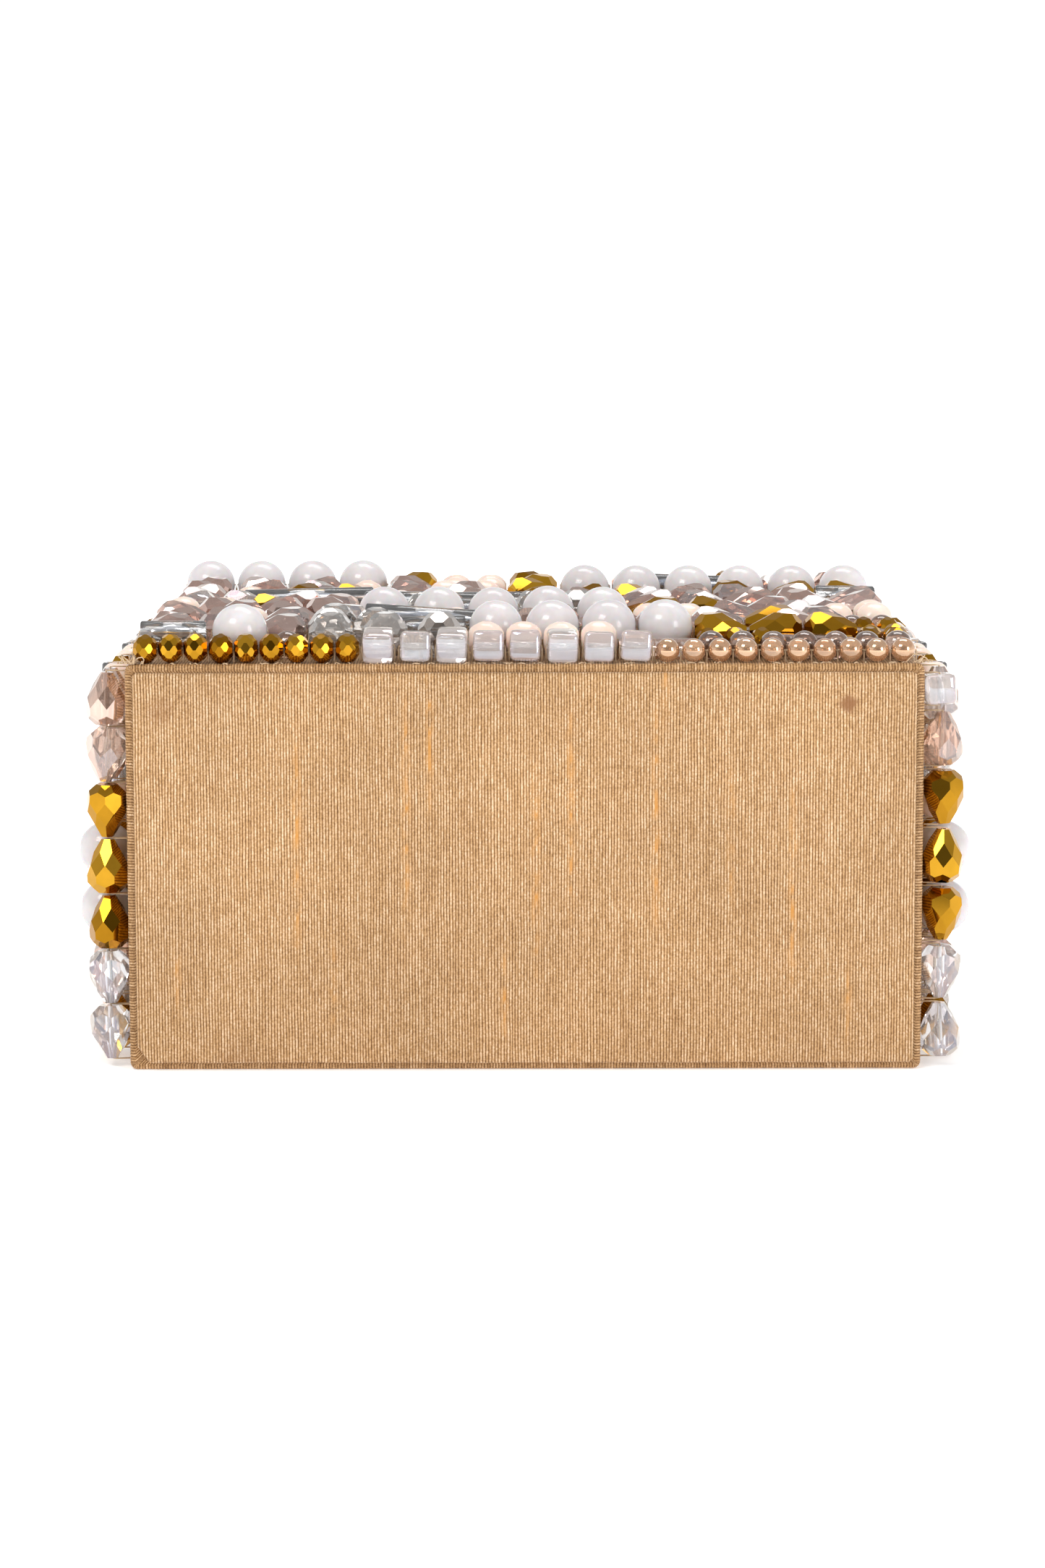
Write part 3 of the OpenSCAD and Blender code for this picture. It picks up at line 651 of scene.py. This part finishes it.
def make_inside():
    make_lining()
    satin, silk = MATERIALS["satin"], silk_material("silk_trim")
    low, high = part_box("slip_pocket")

    def slack(u, v):
        """The pocket's mouth stands a little open."""
        return 2.0 * MM * math.sin(math.pi * u) * v * v * (1 - v)

    pocket = ribbed_panel("pocket", low, high, high.z, low.z, 0.3 * MM, 41, None, satin, "bag",
                          upright=False, relief=slack)
    stand_for(pocket, "satin", "slip_pocket")
    left, right, bottom = low.x + SEAM, high.x - SEAM, low.y + SEAM
    stitches("pocket_stitches", [(left, high.y, high.z), (left, bottom, high.z),
                                 (right, bottom, high.z), (right, high.y, high.z)])
    low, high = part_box("pocket_binding")
    binding = ribbed_panel("pocket_edge", low, high, high.z, low.z, 0.4 * MM, 42, 0, silk, "bag",
                           upright=False)
    stand_for(binding, "silk_hem", "pocket_binding")
    low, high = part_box("lid_lining")
    lining = ribbed_panel("lid_inside", low, high, low.y, high.y, 0.2 * MM, 43, None, satin, "lid")
    stand_for(lining, "satin", "lid_lining")
    low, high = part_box("lid_pad")
    pad = ribbed_panel("lid_cushion", low, high, low.y, high.y, 1.7 * MM, 44, None, satin, "lid",
                       relief=quilted(high.x - low.x, high.z - low.z))
    stand_for(pad, "satin", "lid_pad")


def loose_threads():
    """Ends of beading thread at the front corners of the base, and stitches along that edge."""
    group = Group()
    for side, count, spread in ((-1, 18, 3.0), (1, 7, 2.2)):
        for _ in range(count):
            a, b = (Vector((side * (HALF_W - 1.5 * MM + rng.normal(0, spread * 0.4) * MM),
                            HEM_Y + rng.uniform(0.2, spread) * MM, FRONT_Z + 0.05 * MM))
                    for _ in range(2))
            top = (a + b) / 2 + Vector((rng.normal(0, 0.8), rng.normal(-0.2, 0.5),
                                        rng.uniform(0.5, 1.9))) * MM
            bend = (a + top) / 2 + Vector(rng.normal(0, 0.45, 3)) * MM
            path = [a, a.lerp(bend, 0.6), bend.lerp(top, 0.4), top, top.lerp(b, 0.4), b]
            group.add_thread(path, rng.uniform(0.09, 0.15) * MM)
    for _ in range(70):
        x = rng.uniform(-HALF_W + 3 * MM, HALF_W - 3 * MM)
        a = Vector((x, HEM_Y + rng.uniform(0.6, 1.4) * MM, FRONT_Z - 0.02 * MM))
        b = a + Vector((rng.uniform(-1.6, 1.6), rng.uniform(0.2, 1.5), 0)) * MM
        top = (a + b) / 2 + Vector((0, 0, 0.2 * MM))
        group.add_thread([a, top, b], 0.13 * MM)
    group.build("loose_threads", [MATERIALS["thread"]], "bag")


# ---- Cut glass ----

def facet_normal(lean, around):
    """A normal that leans towards +X, at an angle round X."""
    return Vector((math.sin(lean), math.cos(lean) * math.cos(around),
                   math.cos(lean) * math.sin(around)))


def cut_gem(length, radius, sides, cuts):
    """A convex cut stone along X, in millimetres. A cut is (x, r, tilt in degrees, turn)."""
    bm = bmesh.new()
    bmesh.ops.create_cube(bm, size=1)
    bmesh.ops.scale(bm, vec=(length, 2.5 * radius, 2.5 * radius), verts=bm.verts)
    for x, r, tilt, turn in cuts:
        for k in range(sides):
            a = TAU * (k + turn) / sides
            slice_off(bm, Vector((x, r * math.cos(a), r * math.sin(a))),
                      facet_normal(math.radians(tilt), a))
    return bm


def slice_off(bm, point, normal):
    """Cuts a convex solid by a plane, and closes the cut."""
    found = bmesh.ops.bisect_plane(bm, geom=bm.verts[:] + bm.edges[:] + bm.faces[:], dist=1e-5,
                                   plane_co=point, plane_no=normal, clear_outer=True)
    rim = [e for e in found["geom_cut"] if isinstance(e, bmesh.types.BMEdge)]
    rim = [e for e in rim if e.is_valid and e.is_boundary]
    if len(rim) > 2:
        bmesh.ops.contextual_create(bm, geom=rim)


def rounded(bm, width):
    """Eases a stone's edges."""
    bmesh.ops.bevel(bm, geom=bm.edges[:], offset=width, segments=1, affect="EDGES",
                    profile=0.5, clamp_overlap=True)
    return bm


def drilled(bm, radius):
    """(points, faces) of a stone with its threading hole cut along X."""
    drill = bmesh.new()
    bmesh.ops.create_cone(drill, cap_ends=True, segments=10, radius1=radius, radius2=radius,
                          depth=80, matrix=Matrix.Rotation(math.pi / 2, 4, "Y"))
    solids = []
    for name, shape in (("stone", bm), ("drill", drill)):
        mesh = bpy.data.meshes.new(name)
        shape.to_mesh(mesh)
        shape.free()
        solids.append(bpy.data.objects.new(name, mesh))
        bpy.context.scene.collection.objects.link(solids[-1])
    cut = solids[0].modifiers.new("hole", "BOOLEAN")
    cut.operation = "DIFFERENCE"
    cut.solver = "EXACT"
    cut.object = solids[1]
    graph = bpy.context.evaluated_depsgraph_get()
    made = bpy.data.meshes.new_from_object(solids[0].evaluated_get(graph))
    points = np.array([v.co for v in made.vertices], float)
    faces = [tuple(p.vertices) for p in made.polygons]
    for solid in solids:
        bpy.data.objects.remove(solid)
    return points, faces


def turned(profile, segments):
    """(points, faces) of a closed outline of (x, r) points turned about X."""
    points = [(x, r * math.cos(TAU * k / segments), r * math.sin(TAU * k / segments))
              for k in range(segments) for x, r in profile]
    count = len(profile)
    faces = []
    for k in range(segments):
        n = (k + 1) % segments
        for i in range(count):
            j = (i + 1) % count
            faces.append((k * count + i, n * count + i, n * count + j, k * count + j))
    return np.array(points, float), faces


def ball(radius, hole, segments=28, rings=14):
    """A round bead with a threading hole."""
    start = math.asin(hole / radius)
    arc = np.linspace(start, math.pi - start, rings)
    return turned([(-radius * math.cos(a), radius * math.sin(a)) for a in arc], segments)


def tube(length, outer, inner, segments=20):
    ease = 0.35
    half = length / 2
    return turned([(-half, inner), (-half, outer - ease), (-half + ease, outer),
                   (half - ease, outer), (half, outer - ease), (half, inner)], segments)


def gem_drop(length, radius, sides):
    """A faceted drop with its blunt tip along +X."""
    half = length / 2
    cuts = [(-0.36 * half, radius, -4, 0), (-0.78 * half, radius * 0.84, -46, 0.5),
            (0.02 * half, radius * 0.955, 17, 0.5), (0.62 * half, radius * 0.60, 29, 0)]
    return cut_gem(length, radius, sides, cuts)


def gem_barrel(length, radius, sides, waist=0.62):
    """A faceted bead, the same at both ends, with rows of diamond facets."""
    half = length / 2
    cuts = [(0, radius, 0, 0)]
    for way in (-1, 1):
        cuts += [(way * 0.50 * half, radius * 0.90, way * 27, 0.5),
                 (way * 0.86 * half, radius * waist, way * 52, 0)]
    return cut_gem(length, radius, sides, cuts)


def gem_cube(size):
    """A glass cube with its edges cut."""
    bm = cut_gem(size, size / 2, 4, [(0, size / 2, 0, 0), (0, size / 2 * 1.26, 0, 0.5)])
    for way in (-1, 1):
        for k in range(4):
            normal = facet_normal(way * math.radians(45), TAU * k / 4)
            slice_off(bm, normal * size / 2 * 1.27, normal)
    return bm


def gem_baguette(length, width, height):
    """A wedge of cut glass that widens towards -X and lies on Z = -height / 2."""
    bm = bmesh.new()
    bmesh.ops.create_cube(bm, size=1)
    bmesh.ops.scale(bm, vec=(length, width, height), verts=bm.verts)
    taper = math.atan2(width / 2 - 1.2, length)
    for way in (-1, 1):
        normal = Vector((math.sin(taper), way * math.cos(taper), 0))
        slice_off(bm, Vector((length / 2, way * 1.2, 0)), normal)
        lean = Vector((math.sin(taper) * 0.7, way * 0.72, 0.69)).normalized()
        slice_off(bm, Vector((length / 2, way * 0.75, height / 2)), lean)
        slice_off(bm, Vector((way * (length / 2 - 0.5), 0, height / 2)),
                  Vector((way * 0.7, 0, 0.7)))
    return bm


def bead_shapes():
    """Every kind of bead in millimetres, cut to the size that the frame's solids have.

    Each is its parts, as (points, faces, material index, smooth), and how far it may have rolled
    round its thread, as a share of half a turn."""
    hole = 0.55
    return {
        "rondelle": ([(*drilled(gem_barrel(4.9, 2.95, 9), hole), 0, False)], 1.0),
        "drop": ([(*drilled(gem_drop(11.2, 4.05, 7), hole), 0, False)], 1.0),
        "crystal": ([(*drilled(gem_barrel(9.2, 4.7, 9, 0.55), 0.6), 0, False)], 1.0),
        "cube": ([(*drilled(rounded(gem_cube(6.4), 0.4), 0.75), 0, True),
                  (*tube(6.0, 0.72, 0.45), 1, True)], 0.1),
        "baguette": ([(*drilled(gem_baguette(16, 5.0, 4.2), 0.45), 0, False)], 0.0),
        "peach": ([(*drilled(rounded(gem_barrel(7.5, 3.85, 9, 0.66), 0.28), hole), 0, True)], 1.0),
        "pearl": ([(*ball(5.8, 0.6, 36, 20), 0, True), (*ball_hole(5.8, 0.6), 0, True)], 1.0),
        "amber": ([(*ball(2.55, 0.5), 0, True), (*ball_hole(2.55, 0.5), 0, True)], 1.0),
        "smoke": ([(*ball(3.0, 1.25), 0, True), (*ball_hole(3.0, 1.25), 1, True)], 1.0),
        "bugle": ([(*tube(30, 2.3, 1.35), 0, True), (*tube(29.6, 1.3, 0.8), 1, True)], 1.0),
        "short": ([(*tube(14, 2.3, 1.35), 0, True), (*tube(13.6, 1.3, 0.8), 1, True)], 1.0),
    }


def ball_hole(radius, hole, segments=12):
    """The lining of a round bead's hole, facing its axis."""
    half = math.sqrt(radius * radius - hole * hole) - 0.01
    outer, inner = hole * 0.98, hole * 0.9
    return turned([(half, outer), (-half, outer), (-half, inner), (half, inner)], segments)


def islands(node):
    """The separate beads of a CAD node, each as its points, in order of place."""
    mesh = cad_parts[node].data
    points = np.zeros(len(mesh.vertices) * 3)
    mesh.vertices.foreach_get("co", points)
    points = points.reshape(-1, 3)
    _, first, which = np.unique(np.round(points / (0.002 * MM)), axis=0, return_index=True,
                                return_inverse=True)
    which = which.reshape(-1)
    edges = np.zeros(len(mesh.edges) * 2, int)
    mesh.edges.foreach_get("vertices", edges)
    a, b = which[edges.reshape(-1, 2)].T
    label = np.arange(len(first))
    while True:
        low = np.minimum(label[a], label[b])
        before = label.copy()
        np.minimum.at(label, a, low)
        np.minimum.at(label, b, low)
        label = label[label]
        if (label == before).all():
            break
    groups = [points[first[label == k]] for k in np.unique(label)]
    return sorted(groups, key=lambda g: tuple(np.round(g.mean(0) / MM, 1)))


def bead_frame(points, outward):
    """A bead's centre and its axes: X along its thread towards its tip, and Z out of the wall."""
    low, high = points.min(0), points.max(0)
    centre = (low + high) / 2
    along = np.array((1.0, 0, 0)) if abs(outward[2]) > 0.5 else np.array((0, 0, 1.0))
    place = (points - centre) @ along
    across = np.linalg.norm((points - centre) - np.outer(place, along), axis=1)
    reach = place.max()
    ahead = across[place > 0.15 * reach].mean()
    behind = across[place < -0.15 * reach].mean()
    if ahead > behind * 1.02:
        along = -along
    side = np.cross(outward, along)
    return centre, np.array([along, side, outward]).T, high - low


def turn_matrix(roll, yaw, pitch):
    return np.array(Matrix.Rotation(yaw, 3, "Z") @ Matrix.Rotation(pitch, 3, "Y")
                    @ Matrix.Rotation(roll, 3, "X"))


class Group:
    """Gathers beads and threads into one mesh."""

    def __init__(self):
        self.verts, self.faces, self.slots, self.smooth = [], [], [], []
        self.tint, self.coat = [], []
        self.count = 0

    def add(self, points, faces, slot, smooth, tint, coat):
        self.verts.append(points)
        self.faces += [tuple(i + self.count for i in face) for face in faces]
        self.slots += [slot] * len(faces)
        self.smooth += [smooth] * len(faces)
        self.tint += [tint] * len(points)
        self.coat += list(coat)
        self.count += len(points)

    def add_thread(self, path, radius):
        """Adds one thread, with a tint of its own."""
        points, faces = tube_along(path, radius, THREAD_SIDES)
        self.add(points, faces, 0, True, rng.uniform(0, 1), [0.0] * len(points))

    def build(self, name, materials, body):
        return make_object(name, np.vstack(self.verts), self.faces, materials, body, self.smooth,
                           self.slots, {"tint": self.tint, "coat": self.coat})


def thread_through(group, centre, axes, length, height, slot):
    """The thread that holds one bead: up out of the silk, through the hole and down again."""
    end = length / 2 + 0.12 * MM
    path = [(-end, 0.2 * MM, -height), (-end - 0.05 * MM, 0, -0.25 * height), (-end, 0, 0),
            (0, 0, 0), (end, 0, 0), (end + 0.05 * MM, 0, -0.25 * height),
            (end, -0.2 * MM, -height)]
    points, faces = tube_along(path, 0.17 * MM, THREAD_SIDES)
    group.add(points @ axes.T + centre, faces, slot, True, rng.uniform(0, 1), [0.0] * len(points))


LONG_BUGLE = 20 * MM
BUGLE_STAND = 3.4 * MM     # how far below a bugle bead the silk is


def bead_group(name, node, kind, materials):
    """Stands a detailed bead in the place of each solid of a CAD node."""
    group = Group()
    for points in islands(node):
        if node.startswith("front"):
            outward = np.array((0, 0, 1.0))
        else:
            outward = np.array((math.copysign(1.0, points[:, 0].mean()), 0, 0))
        centre, axes, size = bead_frame(points, outward)
        length = float(np.abs(axes[:, 0]) @ size)
        height = float(np.abs(axes[:, 2]) @ size) / 2
        short = kind == "bugle" and length < LONG_BUGLE
        parts, roll = SHAPES["short" if short else kind]
        turn = turn_matrix(rng.uniform(-math.pi, math.pi) * roll,
                           math.radians(rng.normal(0, 2.2)), math.radians(rng.normal(0, 1.6)))
        tint = rng.uniform(0, 1)
        scale = rng.uniform(0.975, 1.0) * MM
        side = rng.uniform(0, TAU)
        coated = np.array((0.25, math.cos(side), math.sin(side)))
        lowest = min((part[0] @ turn.T)[:, 2].min() for part in parts) * scale
        lift = max(-lowest - height, -height * 0.2)
        place = centre + outward * lift
        reach = np.abs(parts[0][0][:, 1:]).max()
        for part_points, faces, part_slot, smooth in parts:
            coat = 0.5 + 0.5 * (part_points @ coated) / reach
            group.add((part_points @ turn.T * scale) @ axes.T + place, faces, part_slot, smooth,
                      tint, coat)
        stands = height + (BUGLE_STAND if kind == "bugle" else 0)
        thread_through(group, place, axes, length, stands, len(materials))
    piece = group.build(name, materials + [MATERIALS["thread"]], "bag")
    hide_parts(node)


# ---- Glass and metal materials ----

def glass(name, dark, light, coat=None, clear=0.0, **sockets):
    """Glass whose colour lies between dark and light, by each bead's own tint.

    coat is (colour, from, to, amount): a metallic lustre over the part of each bead where its coat
    value is above from, full above to. clear is how much light goes through."""
    settings = {"Roughness": 0.02, "IOR": 1.54, "Transmission_Weight": clear, **sockets}
    material, tree, shader = make_material(name, **settings)
    swirl = remap(tree, noise(tree, object_place(tree), 320.0), 0.3, 0.7, 0.92, 1.03)
    colour = mix_colours(tree, attribute(tree, "tint"), dark, light)
    colour = mix_colours(tree, 1.0, colour, swirl, "MULTIPLY")
    if coat:
        metal, start, stop, amount = coat
        lustre = remap(tree, attribute(tree, "coat"), start, stop, 0.0, amount)
        colour = mix_colours(tree, lustre, colour, metal)
        tree.links.new(lustre, shader.inputs["Metallic"])
    tree.links.new(colour, shader.inputs["Base Color"])
    return material


def rough_metal(name, dark, light, scratch, **sockets):
    """Metal with fine scratches, whose polish varies a little."""
    material, tree, shader = make_material(name, Metallic=1.0, **sockets)
    place = object_place(tree)
    stretched = add_node(tree, "ShaderNodeMapping", {"Vector": place, "Scale": (0.15, 1.0, 1.0)})
    lines = noise(tree, stretched.outputs["Vector"], 2400.0, 3.0)
    colour = mix_colours(tree, noise(tree, place, 90.0, 4.0), dark, light)
    tree.links.new(colour, shader.inputs["Base Color"])
    rough = remap(tree, lines, 0.3, 0.7, scratch * 0.6, scratch * 1.5)
    tree.links.new(rough, shader.inputs["Roughness"])
    add_bump(tree, shader, lines, 0.08, 0.05 * MM)
    return material


def fibre_material(name, dark, light, scale, roughness=0.8, sheen=0.0, stretch=(1, 1, 1)):
    """Board, card, thread or satin: a fibrous colour with a fine bump."""
    material, tree, shader = make_material(name, Roughness=roughness, Sheen_Weight=sheen,
                                           Specular_IOR_Level=0.3)
    drawn = add_node(tree, "ShaderNodeMapping", {"Vector": object_place(tree), "Scale": stretch})
    fibre = noise(tree, drawn.outputs["Vector"], scale, 5.0)
    tree.links.new(mix_colours(tree, fibre, dark, light), shader.inputs["Base Color"])
    add_bump(tree, shader, fibre, 0.25, 0.1 * MM)
    return material


# The thin film that gives a crystal its rainbow: its thickness in nanometres.
FILM = {"Thin_Film_Thickness": 340.0, "Thin_Film_IOR": 1.36}
LUSTRE = {"Roughness": 0.015, "IOR": 1.42, "Coat_Weight": 1.0, "Coat_IOR": 2.1, **FILM}


def make_materials():
    return {
        "gold": glass("gold_coated_glass", (0.33, 0.145, 0.007), (0.62, 0.325, 0.025),
                      Metallic=1.0, Roughness=0.05),
        "crystal": glass("rainbow_crystal", (1.0, 0.92, 0.90), (1.0, 0.96, 0.94), clear=0.74,
                         Roughness=0.01, IOR=1.50, Coat_Weight=1.0, Coat_IOR=1.9, **FILM),
        "amber": glass("amber_lustre", (0.76, 0.45, 0.24), (0.92, 0.62, 0.38),
                       ((0.90, 0.60, 0.38), -0.1, 0.3, 0.5), 0.72, Coat_Weight=1.0,
                       Roughness=0.05),
        "smoke": glass("clear_smoke", (0.40, 0.23, 0.16), (0.62, 0.44, 0.35), clear=0.82,
                       Coat_Weight=1.0),
        "lined": glass("brown_lining", (0.16, 0.075, 0.045), (0.30, 0.17, 0.11), Metallic=0.7,
                       Roughness=0.25),
        "pearl": glass("milky_glass", (0.79, 0.755, 0.77), (0.85, 0.82, 0.83), clear=0.15,
                       Roughness=0.16, Subsurface_Weight=0.3, Subsurface_Scale=0.002,
                       Specular_IOR_Level=0.4),
        "peach": glass("peach_glass", (0.92, 0.71, 0.60), (0.96, 0.80, 0.70), Roughness=0.2,
                       Subsurface_Weight=0.3, Subsurface_Scale=0.002),
        "smoky": glass("smoky_crystal", (0.84, 0.80, 0.76), (0.97, 0.95, 0.93),
                       ((0.36, 0.30, 0.26), 0.6, 0.75, 0.6), 0.85, Roughness=0.015,
                       Coat_Weight=1.0, Coat_IOR=1.9),
        "champagne": glass("champagne_lustre", (1.0, 0.76, 0.62), (1.0, 0.98, 0.95),
                           ((0.72, 0.43, 0.30), 0.60, 0.66, 0.6), 0.84, **LUSTRE),
        "rose": glass("rose_lustre", (0.96, 0.64, 0.52), (1.0, 0.90, 0.86),
                      ((0.50, 0.27, 0.19), 0.48, 0.54, 0.75), 0.84, **LUSTRE),
        "clear": glass("clear_crystal", (0.97, 0.97, 1.0), (1.0, 1.0, 1.0),
                       ((0.68, 0.48, 0.28), 0.9, 0.95, 0.8), 0.86, Roughness=0.01, IOR=1.50,
                       Coat_Weight=1.0, Coat_IOR=1.8, **FILM),
        "tube": glass("tube_glass", (0.97, 0.97, 0.99), (1.0, 1.0, 1.0), clear=0.93,
                      Roughness=0.01),
        "silver": glass("silver_lining", (0.56, 0.62, 0.72), (0.84, 0.86, 0.91), Metallic=1.0,
                        Roughness=0.16),
        "thread": fibre_material("beige_thread", (0.50, 0.33, 0.18), (0.80, 0.62, 0.42), 1800.0,
                                 0.7, 0.2),
        "board": fibre_material("grey_board", (0.30, 0.28, 0.25), (0.55, 0.52, 0.47), 900.0, 0.9),
        "card": fibre_material("white_card", (0.50, 0.46, 0.40), (0.72, 0.68, 0.61), 700.0, 0.85),
        "satin": fibre_material("ivory_satin", (0.70, 0.55, 0.36), (0.86, 0.72, 0.53), 1500.0,
                                0.32, 0.3, (1, 0.08, 1)),
        "brass": rough_metal("hinge_brass", (0.62, 0.43, 0.17), (0.80, 0.61, 0.30), 0.28),
        "gilt": rough_metal("gilt_plate", (0.80, 0.57, 0.25), (0.93, 0.72, 0.38), 0.12),
        "nickel": rough_metal("nickel_plate", (0.58, 0.58, 0.60), (0.76, 0.76, 0.78), 0.25),
    }


# ---- Pieces kept from the frame ----

def dress_node(node, material, bevel=0.0):
    """Keeps a CAD node's shape, with its material and softly worn edges."""
    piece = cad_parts[node]
    piece.data.materials.clear()
    piece.data.materials.append(material)
    if bevel:
        ease = piece.modifiers.new("worn_edges", "BEVEL")
        ease.width = bevel
        ease.segments = 2
        ease.limit_method = "ANGLE"
        ease.angle_limit = math.radians(35)


def dress_nodes():
    finishes = {
        "board": ("base_board", "front_board", "back_board", "left_board", "right_board",
                  "lid_board"),
        "card": ("base_card",),
        "nickel": ("wall_magnets", "lid_magnets", "lug_screws"),
        "brass": ("hinge_body_leaf", "hinge_lid_leaf", "hinge_pin", "hinge_body_rivets",
                  "hinge_lid_rivets"),
        "gilt": ("handle_bail",),
    }
    for finish, nodes in finishes.items():
        for node in nodes:
            dress_node(node, MATERIALS[finish])
    dress_node("handle_lugs", MATERIALS["gilt"], 0.25 * MM)


# ---- The whole bag ----

# The faces that have them, the piece's and the node's name after the face's, the shape, the
# materials of its parts and the slot.
BEADS = (
    ("front", "rondelles", "gold_rondelles", "rondelle", ["gold"], "gold_glass"),
    ("front", "cubes", "crystal_cubes", "cube", ["crystal", "pearl"], "crystal_glass"),
    ("side", "cube", "crystal_cube", "cube", ["crystal", "pearl"], "crystal_glass"),
    ("front", "ambers", "amber_rounds", "amber", ["amber"], "amber_glass"),
    ("front side", "smokes", "smoke_rounds", "smoke", ["smoke", "lined"], "smoke_glass"),
    ("front side", "milky_rounds", "pearls", "pearl", ["pearl"], "pearl_glass"),
    ("front side", "peaches", "peach_beads", "peach", ["peach"], "peach_glass"),
    ("front", "smoky_crystals", "smoke_crystals", "crystal", ["smoky"], "smoke_crystal"),
    ("front", "champagnes", "champagne_drops", "drop", ["rose"], "champagne_glass"),
    ("side", "champagnes", "champagne_drops", "drop", ["champagne"], "champagne_glass"),
    ("front side", "golds", "gold_drops", "drop", ["gold"], "gold_glass"),
    ("front side", "clears", "clear_drops", "drop", ["clear"], "crystal_glass"),
    ("front side", "tubes", "silver_bugles", "bugle", ["tube", "silver"], "silver_glass"),
    ("front", "wedges", "baguettes", "baguette", ["champagne"], "champagne_glass"),
)

make_studio()
MATERIALS = make_materials()
SHAPES = bead_shapes()
make_silk()
make_inside()
dress_nodes()
loose_threads()

for face in ("front", "side"):
    for faces, name, node, kind, glasses, slot in BEADS:
        if face in faces:
            bead_group(f"{face}_{name}", f"{face}_{node}", kind,
                       [MATERIALS[g] for g in glasses])
